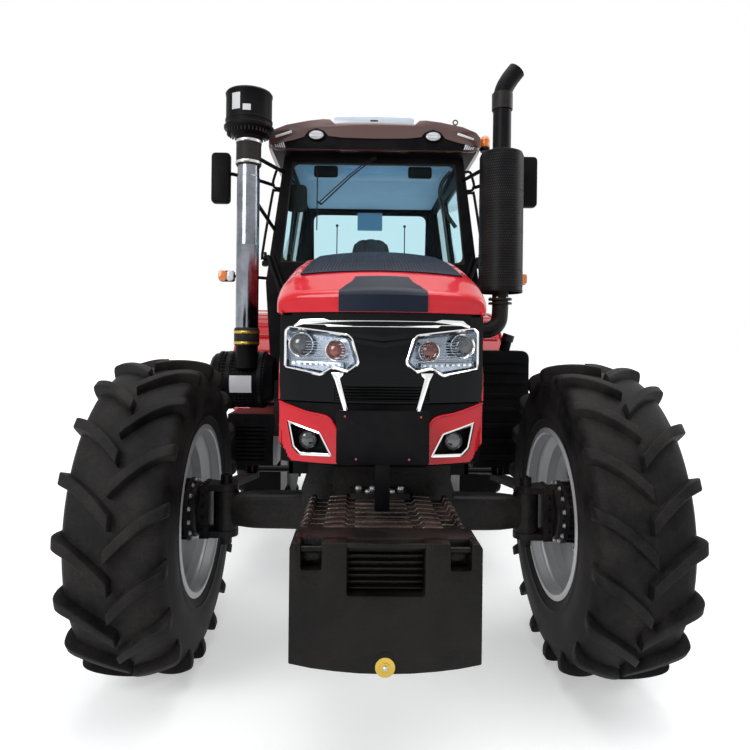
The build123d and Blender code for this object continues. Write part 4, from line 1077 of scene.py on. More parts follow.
@dataclass(frozen=True)
class Nose:
    """Grille, headlights, apron and number board.

    Attributes:
        bow: Depth of the front's curve.
        sheet: Thickness of its panels.
        lamp: Outline of the headlight, as x and z.
        fog: Outline of the fog lamp's opening.
        tusk: Outline of the bright bar below the headlight.
        apron: Outline of the painted half of the apron.
        cell: Size of the panels' grid.
        neighbours: Each edge of a grid cell, as two of its corners, and the step to the cell across it.
    """

    bow: float = 0.130
    sheet: float = 0.018
    lamp: tuple[Pair, ...] = ((0.392, 1.566), (0.372, 1.583), (0.134, 1.552), (0.115, 1.533),
                              (0.088, 1.440), (0.100, 1.424), (0.131, 1.401), (0.190, 1.416),
                              (0.240, 1.387), (0.392, 1.413))
    fog: tuple[Pair, ...] = ((0.378, 1.206), (0.240, 1.166), (0.191, 1.075), (0.324, 1.071),
                             (0.355, 1.100))
    tusk: tuple[Pair, ...] = ((0.200, 1.402), (0.148, 1.402), (0.153, 1.390), (0.164, 1.380),
                              (0.133, 1.262), (0.129, 1.250), (0.142, 1.247), (0.148, 1.256),
                              (0.184, 1.372))
    apron: tuple[Pair, ...] = ((0.140, 1.047), (0.360, 1.045), (0.398, 1.110), (0.412, 1.278),
                               (0.300, 1.245), (0.215, 1.229), (0.185, 1.197), (0.162, 1.150),
                               (0.140, 1.146))
    cell: float = 0.0065
    neighbours: tuple[tuple[tuple[int, int], tuple[int, int]], ...] = (
        ((0, 1), (0, -1)), ((1, 2), (1, 0)), ((2, 3), (0, 1)), ((3, 0), (-1, 0)))

    @property
    def half(self) -> float:
        """Half width of the nose."""
        return corners("grille")[1].x

    def spot(self, x: float, z: float, proud: float = 0.0) -> Vector:
        """Point of the front's surface, or proud of it."""
        reach = min(abs(x), self.half)
        radius = (self.half ** 2 + self.bow ** 2) / (2 * self.bow)
        tip = corners("grille")[0].y
        return Vector((x, tip + radius - math.sqrt(radius ** 2 - reach ** 2) - proud, z))

    def plate(self, outline: Sequence[Pair], proud: float, deep: float, bevel: float = 0.002) -> Shape:
        """Plate that follows the front's curve."""
        edge = fine(outline, 0.03)
        return Shape().loft([[self.spot(x, z, proud) for x, z in edge],
                             [self.spot(x, z, -deep) for x, z in edge]], bevel)

    def frame_ring(self, outline: Sequence[Pair], wide: float, proud: float, deep: float) -> Shape:
        """Raised frame inside an outline, following the front's curve."""
        edge = fine(outline, 0.02)
        inner = inset(edge, wide)
        middle = inset(edge, wide * 0.5)
        sections = []
        for outer_p, mid_p, inner_p in zip(edge, middle, inner):
            sections.append([self.spot(*outer_p, -deep), self.spot(*outer_p, proud * 0.6),
                             self.spot(*mid_p, proud), self.spot(*inner_p, proud * 0.4),
                             self.spot(*inner_p, -deep)])
        return Shape().loft(sections, looped=True)

    def panel(self, x: Pair, z: Pair, keep: Sequence[Sequence[Pair]], holes: Sequence[Sequence[Pair]],
              fold: float = 0.0) -> Shape:
        """Curved wall on a fine grid, kept inside outlines and open inside holes.

        Args:
            x: Limits across.
            z: Limits upward.
            keep: Outlines outside which it is left out, or none.
            holes: Outlines of its openings.
            fold: Depth of the V-shaped fold across its middle.

        Returns:
            The shape.
        """
        across, up = round((x[1] - x[0]) / self.cell), round((z[1] - z[0]) / self.cell)
        made = bmesh.new()
        known: dict[tuple[int, int, int], bmesh.types.BMVert] = {}

        def vert(i: int, k: int, back: int) -> bmesh.types.BMVert:
            """Grid point, made once."""
            if (i, k, back) not in known:
                px, pz = x[0] + (x[1] - x[0]) * i / across, z[0] + (z[1] - z[0]) * k / up
                near = max(0.0, 1 - abs(pz - 1.500 - abs(px) * 0.16) / 0.035)
                dip = fold * near * max(0.0, 1 - abs(px) / 0.16)
                known[i, k, back] = made.verts.new(self.spot(px, pz, -dip - back * self.sheet))
            return known[i, k, back]

        cells = set()
        for i in range(across):
            for k in range(up):
                px = x[0] + (x[1] - x[0]) * (i + 0.5) / across
                pz = z[0] + (z[1] - z[0]) * (k + 0.5) / up
                kept = not keep or any(inside(o, px, pz) for o in keep)
                if kept and not any(inside(o, px, pz) for o in holes):
                    cells.add((i, k))
        for i, k in cells:
            loop = ((i, k), (i + 1, k), (i + 1, k + 1), (i, k + 1))
            made.faces.new([vert(*p, 0) for p in loop])
            made.faces.new([vert(*p, 1) for p in reversed(loop)])
            for (a, b), step in self.neighbours:
                if (i + step[0], k + step[1]) not in cells:
                    rim = ((b, 0), (a, 0), (a, 1), (b, 1))
                    made.faces.new([vert(*loop[end], back) for end, back in rim])
        return Shape().take(made)

    @staticmethod
    def both(outline: Sequence[Pair]) -> list[list[Pair]]:
        """An outline and its mirror image."""
        return [list(outline), [(-x, z) for x, z in outline]]

    def grille(self) -> None:
        """Build the black front with its slats, fold and bright trims."""
        low, high = corners("grille")
        lamp = rounded(self.lamp, 0.010)
        vent = [(-0.182, 1.291), (0.182, 1.291), (0.182, 1.350), (-0.182, 1.350)]
        shell = self.panel((-self.half, self.half), (low.z, high.z), [],
                           self.both(inset(lamp, 0.005)) + [vent], fold=0.010)
        side = [(low.y + self.bow, low.z), (high.y, low.z), (high.y, high.z), (low.y + self.bow, high.z)]
        wall = Shape().prism(side, Axis.X, self.half - self.sheet, self.half, 0.002).mirror()
        shell.add(wall, self.plate(inset(vent, -0.01), -0.030, 0.045, 0))
        slat = [(-0.181, 1.294), (0.181, 1.294), (0.181, 1.2985), (-0.181, 1.2985)]
        slats = Pattern(5, column_step=(0.0, 0.0, 0.0115))
        shell.join(slats.spread(self.plate(slat, 0.001, 0.022, 0.001), GLOSS_BLACK))
        above = [(-0.180, 1.362), (0.180, 1.362), (0.180, 1.3645), (-0.180, 1.3645)]
        lines = Pattern(4, column_step=(0.0, 0.0, 0.013))
        shell.join(lines.spread(self.plate(above, 0.0015, 0.004, 0.0), GLOSS_BLACK))
        ridge = [(0.0, 1.512), (0.165, 1.540), (0.165, 1.546), (0.0, 1.520), (-0.165, 1.546),
                 (-0.165, 1.540)]
        shell.add(self.plate(ridge, 0.005, 0.004))
        shell.piece("nose_front", GLOSS_BLACK, "hood", "black_plastic", ["grille"])
        strip = [(0.0, 1.579), (0.215, 1.579), (0.228, 1.587), (0.312, 1.589), (0.350, 1.579),
                 (0.352, 1.586), (0.322, 1.609), (0.232, 1.611), (0.205, 1.604), (0.0, 1.604)]
        strip += other_side(strip[1:-1])
        trims = self.plate(strip, 0.007, 0.004)
        for tusk in self.both(self.tusk):
            trims.add(self.plate(tusk, 0.009, 0.004))
        trims.piece("nose_trims", CHROME_PAINTED_REFLECTIONS, "hood", "chrome")
        dark = [(0.0, 1.587), (0.190, 1.587), (0.200, 1.597), (0.0, 1.597)]
        dark += other_side(dark[1:-1])
        self.plate(dark, 0.0085, 0.0, 0.001).piece(
            "nose_strip_inlay", GLOSS_BLACK, "hood", "black_plastic")
        edge = [(low.y + self.bow - 0.004, low.z + 0.002), (high.y, low.z + 0.002), (high.y, 1.60),
                (low.y + self.bow + 0.035, 1.50), (low.y + self.bow + 0.004, 1.40)]
        Shape().prism(edge, Axis.X, self.half - 0.004, self.half + 0.003, 0.0015).mirror().piece(
            "nose_sides", RED, "hood", "red_paint")

    def headlights(self) -> None:
        """Build the lamp bowls, projectors, light rows and covers."""
        lamp = rounded(self.lamp, 0.010)
        bezel = self.frame_ring(lamp, 0.0095, 0.0075, 0.012).mirror()
        bezel.piece("headlight_bezels", CHROME_PAINTED_REFLECTIONS, "hood", "chrome")
        edge = fine(inset(lamp, 0.008), 0.02)
        back = [self.spot(x, z, -0.045) for x, z in edge]
        front = [self.spot(x, z, -0.034) for x, z in edge]
        shade = inset(edge, 0.012)
        bowl = Shape().loft([back, front])
        walls = [[self.spot(x, z, 0.002), self.spot(*s, -0.034), self.spot(x, z, -0.036)]
                 for (x, z), s in zip(edge, shade)]
        bowl.loft(walls, looped=True)
        step = [(0.150, 1.418), (0.236, 1.406), (0.375, 1.426), (0.372, 1.446), (0.150, 1.440)]
        bowl.add(self.plate(step, -0.014, 0.036))
        line = [(0.148, 1.446), (0.374, 1.446), (0.374, 1.4485), (0.148, 1.4485)]
        rib = self.plate(line, -0.016, 0.020, 0.0)
        bowl.join(Pattern(8, column_step=(0.0, 0.0, 0.0105)).spread(rib, REFLECTOR))
        bowl.mirror().piece("headlight_bowls", REFLECTOR, "hood", "lamp_lens", ["headlights"])
        rings = Shape()
        for name, finish, x, z, radius in (("outer", PROJECTOR, 0.322, 1.509, 0.050),
                                           ("inner", WARM_GLASS, 0.182, 1.487, 0.042)):
            y = self.spot(x, z).y
            cup = [(y + 0.040, radius * 0.55), (y + 0.034, radius * 0.80), (y + 0.006, radius),
                   (y + 0.001, radius * 0.97), (y + 0.004, radius * 0.88), (y + 0.012, radius * 0.80),
                   (y + 0.016, radius * 0.74), (y + 0.040, radius * 0.50)]
            rings.lathe(cup, Axis.Y, (x, z), 40, True)
            ball = [(y + 0.030, 0.0), (y + 0.030, radius * 0.74), (y + 0.018, radius * 0.72),
                    (y + 0.010, radius * 0.55), (y + 0.006, radius * 0.3), (y + 0.004, 0.0)]
            Shape().lathe(ball, Axis.Y, (x, z), 32).mirror().piece(
                f"headlight_projectors_{name}", finish, "hood", "lamp_lens")
        light = [(0.160, 1.424), (0.172, 1.424), (0.172, 1.435), (0.160, 1.435)]
        row = Pattern(9, column_step=(0.0232, 0.0062, 0.0008))
        rings.join(row.spread(self.plate(light, -0.011, 0.016), CHROME_PAINTED_REFLECTIONS))
        rings.mirror().piece("headlight_rings", CHROME_PAINTED_REFLECTIONS, "hood", "chrome")
        cover = self.plate(inset(lamp, 0.007), 0.0035, -0.0015, 0.0)
        cover.mirror().piece("headlight_covers", LENS, "hood", "lamp_lens")

    def front_apron(self) -> None:
        """Build the painted apron, its black middle, the fog openings and the lip."""
        low, high = corners("front_apron")
        fogs = self.both(inset(rounded(self.fog, 0.008), 0.004))
        red = self.panel((-self.half, self.half), (low.z, high.z), self.both(self.apron), fogs)
        side = [(low.y + self.bow, low.z + 0.075), (high.y, low.z + 0.03), (high.y, high.z),
                (low.y + self.bow, high.z)]
        red.add(Shape().prism(side, Axis.X, self.half - self.sheet, self.half, 0.002).mirror())
        for sign in (-1, 1):
            edge = [self.spot(sign * x, z, 0.0005) for x, z in self.apron[3:]]
            red.tube(edge, 0.0045, 10, 8)
        red.piece("apron", RED, "chassis", "red_apron", ["front_apron"])
        dark = self.panel((-self.half + 0.01, self.half - 0.01), (low.z, high.z),
                          [], self.both(inset(self.apron, 0.006)))
        dark.mesh.transform(Matrix.Translation((0, 0.006, 0)))
        shelf = (aft(-0.47), aft(-0.372))
        ledge = [(-0.25, low.z), (0.25, low.z), (0.25, low.z + 0.03), (-0.25, low.z + 0.03)]
        dark.prism(ledge, Axis.Y, *shelf, 0.003)
        lip = [(-0.385, low.z), (0.385, low.z), (0.385, low.z + 0.007), (-0.385, low.z + 0.007)]
        dark.add(self.plate(lip, 0.001, 0.02))
        for fog in self.both(self.fog):
            dark.add(self.plate(inset(fog, -0.006), -0.050, 0.056, 0))
            walls = [[self.spot(x, z, -0.004), self.spot(x, z, -0.052), self.spot(*s, -0.052)]
                     for (x, z), s in zip(fine(fog), inset(fine(fog), -0.006))]
            dark.loft(walls, looped=True)
        dark.piece("apron_middle", PLASTIC, "chassis", "black_plastic")
        ring = self.frame_ring(rounded(self.fog, 0.008), 0.011, 0.006, 0.030)
        brow = [(0.366, 1.196), (0.347, 1.105), (0.322, 1.083), (0.205, 1.086), (0.203, 1.080),
                (0.324, 1.071), (0.355, 1.100), (0.374, 1.203)]
        ring.add(self.plate(brow, 0.004, 0.004, 0.001))
        ring.mirror().piece("fog_bezels", CHROME_PAINTED_REFLECTIONS, "chassis", "chrome")
        y = self.spot(0.29, 1.13).y
        cup = [(y + 0.050, 0.0), (y + 0.050, 0.030), (y + 0.026, 0.036), (y + 0.022, 0.033),
               (y + 0.030, 0.028), (y + 0.026, 0.018), (y + 0.024, 0.0)]
        Shape().lathe(cup, Axis.Y, (0.290, 1.130), 28).mirror().piece(
            "fog_lamps", PROJECTOR, "chassis", "lamp_lens")

    def board(self) -> None:
        """Build the blank number board, its post and its screws."""
        low, high = corners("plate_board")
        outline = rounded([(low.x, 1.068), (high.x, 1.068), (high.x, high.z), (low.x, high.z)], 0.010)
        board = Shape().prism(outline, Axis.Y, low.y, low.y + 0.008, 0.0015)
        board.block((-0.028, 0.028), (-0.690, -0.665), (low.z, 1.206), 0.004)
        for x in (-0.070, 0.070):
            board.block((x - 0.012, x + 0.012), (-0.6925, -0.672), (1.10, 1.23), 0.003)
        board.piece("number_board", BLACK, "chassis", "black_paint", ["plate_board"])
        screws = Shape()
        for x, z in ((-0.098, 1.088), (0.098, 1.088), (-0.140, 1.245), (0.140, 1.245)):
            screws.add(bolt((x, low.y + 0.001, z), Axis.Y, -1, 0.0048))
        screws.piece("number_board_screws", RED_LENS, "chassis", "red_apron", smooth=30)

    def build(self) -> None:
        """Build the whole nose."""
        self.grille()
        self.headlights()
        self.front_apron()
        self.board()


@dataclass(frozen=True)
class Hood:
    """Lifting hood with its centre pad and ribbed panel, and the fixed panels below it.

    Attributes:
        rows: Distance behind the front axle, half width, lower edge, shoulder, crown, share of the bow.
        bow: Depth of the front's curve in plan.
        pad_front: Half width of the pad at the front.
        pad_rear: Half width of the pad where it ends.
        pad_end: Place where the pad ends, behind the front axle.
        pad_low: Height of the pad's lower edge.
        pad_columns: Faces across the pad.
        mesh: Start and end of the ribbed panel behind the front axle.
        ribs: Ribs across the ribbed panel.
        ridge: Height of a rib.
    """

    rows: tuple[tuple[float, ...], ...] = (
        (-0.619, 0.402, 1.636, 1.662, 1.708, 1.0), (-0.600, 0.416, 1.636, 1.672, 1.724, 0.97),
        (-0.540, 0.424, 1.636, 1.688, 1.750, 0.80), (-0.400, 0.430, 1.636, 1.722, 1.812, 0.45),
        (-0.250, 0.433, 1.641, 1.736, 1.864, 0.18), (-0.100, 0.435, 1.645, 1.750, 1.912, 0.04),
        (0.080, 0.436, 1.650, 1.765, 1.956, 0.0), (0.250, 0.437, 1.655, 1.780, 1.990, 0.0),
        (0.600, 0.438, 1.668, 1.800, 2.014, 0.0), (1.299, 0.440, 1.710, 1.830, 2.039, 0.0))
    bow: float = 0.105
    pad_front: float = 0.172
    pad_rear: float = 0.130
    pad_end: float = -0.445
    pad_low: float = 1.638
    pad_columns: int = 14
    mesh: Pair = (-0.400, 0.330)
    ribs: int = 46
    ridge: float = 0.0032

    def fine_rows(self, steps: int = 5) -> list[Vector]:
        """The rows with smooth ones between them."""
        return smooth_rows(self.rows, steps)

    def top(self, row: Vector, x: float, proud: float = 0.0) -> Vector:
        """Point of the crown on a row."""
        y, half, _, side, crown, share = row
        rise = crown - side
        z = crown - 0.20 * rise * (x / (0.82 * half)) ** 2
        return Vector((x, aft(y) + share * self.bow * (x / half) ** 2, z + proud))

    def section(self, row: Vector) -> list[Vector]:
        """Cross-section of the hood from edge to edge."""
        y, half, low, side, crown, share = row
        rise = crown - side
        edge = [(1.000, low), (1.004, low + 0.006), (1.006, (low + side) / 2), (1.003, side),
                (0.992, side + 0.18 * rise), (0.968, side + 0.37 * rise), (0.935, side + 0.53 * rise),
                (0.885, side + 0.68 * rise)]
        right = [Vector((f * half, aft(y) + share * self.bow * f * f, z)) for f, z in edge]
        shares = (0.20, 0.38, 0.55, 0.70, 0.82)
        middle = [self.top(row, half * f) for f in (*(-f for f in reversed(shares)), 0.0, *shares)]
        return [Vector((-p.x, p.y, p.z)) for p in right] + middle + right[::-1]

    def front(self, first: list[Vector]) -> list[list[Vector]]:
        """Rows of the hood's front face, from its folded lower edge upward."""
        low = first[0].z
        return [[Vector((p.x * 0.985, p.y + 0.014 + back, low + (p.z - low) * share)) for p in first]
                for share, back in ((0.0, 0.020), (0.0, -0.010), (0.35, -0.013), (0.75, -0.012))]

    def shell(self) -> None:
        """Build the painted hood with its hinge lugs."""
        rows = [self.section(row) for row in self.fine_rows()]
        shape = Shape().skin(self.front(rows[0]) + rows, 0.010)
        bmesh.ops.remove_doubles(shape.mesh, verts=shape.mesh.verts, dist=1e-5)
        for x in (-0.2, 0.2):
            for y, foot in (((1.210, 1.224), 1.90), ((1.248, 1.280), 1.90), ((1.215, 1.275), 1.938)):
                shape.block((x - 0.015, x + 0.015), y, (foot, 2.010), 0.003)
        shape.piece("hood", RED, "hood", "red_paint", ["hood_shell"], 50)

    def pad(self) -> None:
        """Build the bare black pad that folds over the front."""
        rows = [row for row in self.fine_rows() if row[0] < self.pad_end]
        count = self.pad_columns
        lines = []
        for i, row in enumerate(rows):
            t = i / (len(rows) - 1)
            wide = self.pad_front + (self.pad_rear - self.pad_front) * max(0.0, (t - 0.25) / 0.75)
            arch = 0.02 * t
            lines.append([self.top(row, wide * (2 * k / count - 1), 0.006)
                          + Vector((0, arch * (2 * k / count - 1) ** 2, 0)) for k in range(count + 1)])
        low = self.pad_low
        front = [[Vector((p.x, p.y - 0.006, low + (p.z - low) * share)) for p in lines[0]]
                 for share in (0.0, 0.15, 0.5, 0.85)]
        Shape().skin(front + lines[1:], 0.012).piece("hood_pad", PAD, "hood", "black_plastic", smooth=28)

    def ribbed(self) -> None:
        """Build the ribbed black panel on the crown, with its frame."""
        rows = [row for row in self.fine_rows(8) if self.mesh[0] < row[0] < self.mesh[1]]
        count = self.ribs * 4
        lines = []
        for i, row in enumerate(rows):
            t = i / (len(rows) - 1)
            wide = 0.344 - 0.055 * t
            ridge = self.ridge if 0 < i < len(rows) - 1 else 0.0
            line = []
            for k in range(count + 1):
                u = 2 * k / count - 1
                lift = 0.0050 + 0.003 * u * u + (ridge if k % 4 in (1, 2) else 0.0)
                line.append(self.top(row, wide * u, lift))
            lines.append(line)
        Shape().skin(lines, 0.012).piece("hood_ribs", PAD, "hood", "black_plastic", smooth=20)

    def sides(self) -> None:
        """Build the fixed side panels with their louvres."""
        outer = corners("side_panels")[1].x
        x = (outer - 0.014, outer)
        shape = Shape()
        for y, z in (((-0.370, 1.290), (1.040, 1.130)), ((-0.370, -0.300), (1.040, 1.620)),
                     ((1.215, 1.290), (1.040, 1.690)), ((0.200, 0.250), (1.040, 1.600)),
                     ((0.720, 0.795), (1.040, 1.640)), ((-0.370, 0.795), (1.530, 1.620)),
                     ((0.945, 1.290), (1.530, 1.680)), ((0.700, 1.290), (1.460, 1.545))):
            shape.block(x, y, z, 0.004)
        for y in ((-0.300, -0.250), (1.070, 1.120)):
            shape.block((0.195, x[0] + 0.001), y, (0.950, 1.010), 0.003)
            shape.block((x[0] - 0.020, x[0] + 0.001), y, (0.950, 1.060), 0.003)
        shape.mirror().piece("side_panels", PLASTIC, "chassis", "black_plastic", ["side_panels"])
        mesh = Shape().block((x[0] + 0.001, x[0] + 0.004), (-0.310, 1.220), (1.120, 1.540), 0.001)
        turn = about((x[0] + 0.008, aft(0.0), 1.140), Matrix.Rotation(0.6, 4, "Y"))
        slat = Shape().block((x[0] + 0.006, x[0] + 0.009), (-0.305, 1.216), (1.132, 1.150), 0.001, turn)
        mesh.join(Pattern(21, column_step=(0.0, 0.0, 0.0185)).spread(slat, PLASTIC))
        mesh.mirror().piece("side_louvres", PLASTIC, "chassis", "black_plastic")

    def build(self) -> None:
        """Build the whole hood."""
        self.shell()
        self.pad()
        self.ribbed()
        self.sides()


@dataclass(frozen=True)
class Weights:
    """Stack of front weights with its carrier's bolts.

    Attributes:
        half: Half width.
        top: Height of the top.
        face: Front of the face weight behind the front axle.
        thick: Depth of the face weight.
        pitch: Distance from slab to slab.
        slabs: Number of slabs.
        belly: Right half of the face weight's lower edge.
    """

    half: float = 0.300
    top: float = 0.895
    face: float = -1.068
    thick: float = 0.180
    pitch: float = 0.062
    slabs: int = 8
    belly: tuple[Pair, ...] = ((0.0, 0.4895), (0.080, 0.4915), (0.160, 0.498), (0.230, 0.507),
                               (0.300, 0.521))

    def outline(self, right: Sequence[Pair]) -> list[Pair]:
        """Front view of the face weight, from the right half of what closes it above its belly."""
        return other_side(self.belly[1:]) + list(self.belly) + list(right) + other_side(right)

    def build(self) -> None:
        """Build the stack, its pin and its bolts."""
        top, half, face = self.top, self.half, self.face
        right = [(half, top - 0.014), (half - 0.012, top), (0.266, top), (0.264, 0.815), (0.258, 0.810),
                 (0.207, 0.810), (0.201, 0.815), (0.200, top), (0.122, top), (0.121, 0.736),
                 (0.115, 0.731)]
        plain = [(half, top - 0.014), (half - 0.012, top - 0.002)]
        shape = Shape().prism(self.outline(right), Axis.Y, aft(face), aft(face + 0.066), 0.004)
        shape.prism(self.outline(plain), Axis.Y, aft(face + 0.062), aft(face + self.thick), 0.005)
        shape.block((-0.124, 0.124), (face + 0.002, face + 0.020), (0.879, 0.893), 0.004)
        for x in (-0.2325, 0.2325):
            shape.tube([(x - 0.04, aft(face + 0.028), 0.868), (x + 0.04, aft(face + 0.028), 0.868)],
                       0.010)
            shape.block((x - 0.036, x + 0.036), (face + 0.050, face + 0.064), (0.812, 0.850), 0.003)
        rib = Shape().block((-0.119, 0.119), (face + 0.034, face + 0.064), (0.742, 0.747), 0.001)
        shape.join(Pattern(7, column_step=(0.0, 0.0, 0.0205)).spread(rib, CAST))
        low = 0.600
        half_slab = [(half - 0.004, low), (half - 0.004, top - 0.030), (half - 0.022, top - 0.010),
                     (0.262, top - 0.008), (0.256, top - 0.030), (0.210, top - 0.030),
                     (0.204, top - 0.006), (0.135, top - 0.001), (0.126, top - 0.014)]
        slab = half_slab + other_side(half_slab)
        start = face + self.thick + 0.012
        one = Shape().prism(slab, Axis.Y, aft(start), aft(start + 0.048), 0.005)
        one.block((-0.10, 0.10), (start + 0.008, start + 0.040), (top - 0.030, top - 0.004), 0.004)
        # The slabs take the lighter finish: wear plus a painted highlight.
        slabs = Pattern(self.slabs, column_step=(0.0, self.pitch, 0.0)).spread(one, WORN_AND_LIT)
        Shape().join(slabs).piece("weight_slabs", WORN_AND_LIT, "chassis", "cast_weight", smooth=30)
        rear = face + self.thick + self.slabs * self.pitch
        shape.block((-0.150, 0.150), (face + 0.15, rear), (0.630, 0.868), 0.006)
        shape.lathe([(aft(face - 0.001), 0.0), (aft(face - 0.001), 0.030), (aft(face + 0.01), 0.034),
                     (aft(face + 0.01), 0.0)], Axis.Y, (0.0, 0.530), 28)
        shape.piece("weights", CAST, "chassis", "cast_weight", ["front_weights"], 30)
        y, z = aft(face), 0.512
        pin = [(y + 0.01, 0.0), (y + 0.01, 0.031), (y - 0.0015, 0.031), (y - 0.002, 0.016),
               (y - 0.004, 0.0155), (y - 0.0048, 0.012), (y - 0.0052, 0.010), (y - 0.0053, 0.0)]
        Shape().lathe(pin, Axis.Y, (0.0, z), 32).piece("weight_pin", ZINC, "chassis", "bright_steel")
        bolts = Shape()
        row = Pattern(4, column_step=(0.058, 0.0, 0.0))
        bolts.join(row.spread(bolt((-0.087, aft(-0.425), top + 0.0215), Axis.Z, 1, 0.013), BRIGHT))
        pair = Pattern(2, column_step=(0.10, 0.0, 0.0))
        bolts.join(pair.spread(bolt((-0.05, aft(-0.478), top + 0.0215), Axis.Z, 1, 0.010), BRIGHT))
        bolts.tube([(0.0, y - 0.004, z), (0.0, y - 0.0088, z - 0.003)], [0.009, 0.006], 20)
        bolts.piece("weight_bolts", BRIGHT, "chassis", "bright_steel", smooth=30)


@dataclass(frozen=True)
class FrontAxle:
    """Driven front axle with its steering cylinder.

    Attributes:
        sections: Distance from the middle, half depth, half height and squareness of the casting.
        kingpin: Distance of the steering axis from the middle.
    """

    sections: tuple[tuple[float, ...], ...] = (
        (0.000, 0.160, 0.160, 2.0), (0.090, 0.158, 0.158, 2.0), (0.135, 0.140, 0.140, 2.2),
        (0.190, 0.105, 0.110, 2.8), (0.260, 0.082, 0.092, 4.0), (0.400, 0.072, 0.084, 5.0),
        (0.560, 0.070, 0.082, 5.0), (0.640, 0.060, 0.078, 4.0), (0.715, 0.046, 0.070, 3.0))
    kingpin: float = 0.720

    def build(self) -> None:
        """Build the housing, its covers and bolts, and dress the steering."""
        low, high = corners("front_axle")
        z = (low.z + high.z) / 2
        line = smooth_rows(self.sections, 4)
        line = [Vector((-s[0], *s[1:])) for s in reversed(line[1:])] + line
        rings = [[(x, AXLE_Y + deep * math.copysign(abs(c) ** (2 / square), c),
                   z + tall * math.copysign(abs(s) ** (2 / square), s)) for c, s in circle(32)]
                 for x, deep, tall, square in line]
        shape = Shape().loft(rings)
        shape.block((-0.080, 0.080), (-0.270, 0.206), (z - 0.075, z + 0.075), 0.012)
        for x in (-self.kingpin, self.kingpin):
            shape.lathe([(low.z, 0.0), (low.z, 0.026), (low.z + 0.004, 0.028), (high.z - 0.004, 0.028),
                         (high.z, 0.026), (high.z, 0.0)], Axis.Z, (x, AXLE_Y), 28)
            shape.lathe([(z - 0.093, 0.0), (z - 0.093, 0.056), (z - 0.080, 0.060), (z + 0.080, 0.060),
                         (z + 0.093, 0.056), (z + 0.093, 0.0)], Axis.Z, (x, AXLE_Y), 32)
        shape.lathe([(AXLE_Y - 0.150, 0.100), (AXLE_Y - 0.168, 0.092), (AXLE_Y - 0.172, 0.050),
                     (AXLE_Y - 0.172, 0.0)], Axis.Y, (0.0, z), 40)
        ear = [(0.198, 1.018), (0.198, z), (0.345, z), (0.345, 0.860), (0.300, 1.000)]
        for y0, y1 in ((-0.175, -0.150), (0.150, 0.172)):
            shape.add(Shape().prism(ear, Axis.Y, aft(y0), aft(y1), 0.004).mirror())
        shape.piece("axle_housing", STEEL, "chassis", "black_paint", ["front_axle"], 40)
        bolts = Shape()
        ring = Pattern.around(10, Axis.Y, (0.0, AXLE_Y, z))
        bolts.join(ring.spread(bolt((0.0, AXLE_Y - 0.160, z + 0.096), Axis.Y, -1, 0.009), BRIGHT))
        for x in (-self.kingpin, self.kingpin):
            for end, out in ((high.z, 1), (low.z, -1)):
                bolts.add(bolt((x, AXLE_Y, end - out * 0.004), Axis.Z, out, 0.012))
        bolts.piece("axle_bolts", STEEL, "chassis", "black_paint", smooth=30)
        self.steering()

    def steering(self) -> None:
        """Add the cylinder's glands and pipes, and the knuckles' bolts."""
        high = corners("steering_cylinder")[1]
        y, rod_z = high.y - 0.046, high.z - 0.046
        glands = Shape()
        for x in (-0.252, -0.235, 0.222, 0.239):
            glands.collar(Axis.X, (x, x + 0.012), (0.0172, 0.049), (y, rod_z), 36)
        glands.piece("cylinder_glands", BLACK, "chassis", "black_paint")
        pipes = Shape()
        for x in (-0.14, 0.14):
            pipes.tube([(x, y, rod_z + 0.040), (x, y, rod_z + 0.075), (x * 0.8, y + 0.03, rod_z + 0.10),
                        (x * 0.7, y + 0.08, rod_z + 0.115), (x * 0.7, y + 0.10, 0.93)], 0.008, 10, 5)
            pipes.rod(Axis.Z, (rod_z + 0.038, rod_z + 0.058), 0.014, (x, y), 6)
        pipes.piece("steering_pipes", BRIGHT, "chassis", "bright_steel")
        for side, sign in SIDES:
            box_low, box_high = corners(f"knuckle_{side}")
            bolts = Shape()
            x = sign * (self.kingpin + 0.093)
            row = Pattern(3, column_step=(0.0, 0.042, 0.0))
            one = bolt((x, AXLE_Y - 0.042, box_high.z - 0.001), Axis.Z, 1, 0.010)
            bolts.join(row.spread(one, BRIGHT))
            face = Pattern(4, 2, (0.0, 0.0, 0.052), (sign * 0.004, 0.0, 0.0))
            one = bolt((x, AXLE_Y - 0.069, box_low.z + 0.05), Axis.Y, -1, 0.009)
            bolts.join(face.spread(one, BRIGHT))
            bolts.piece(f"knuckle_bolts_{side}", STEEL, f"knuckle_{side}", "black_paint", smooth=30)


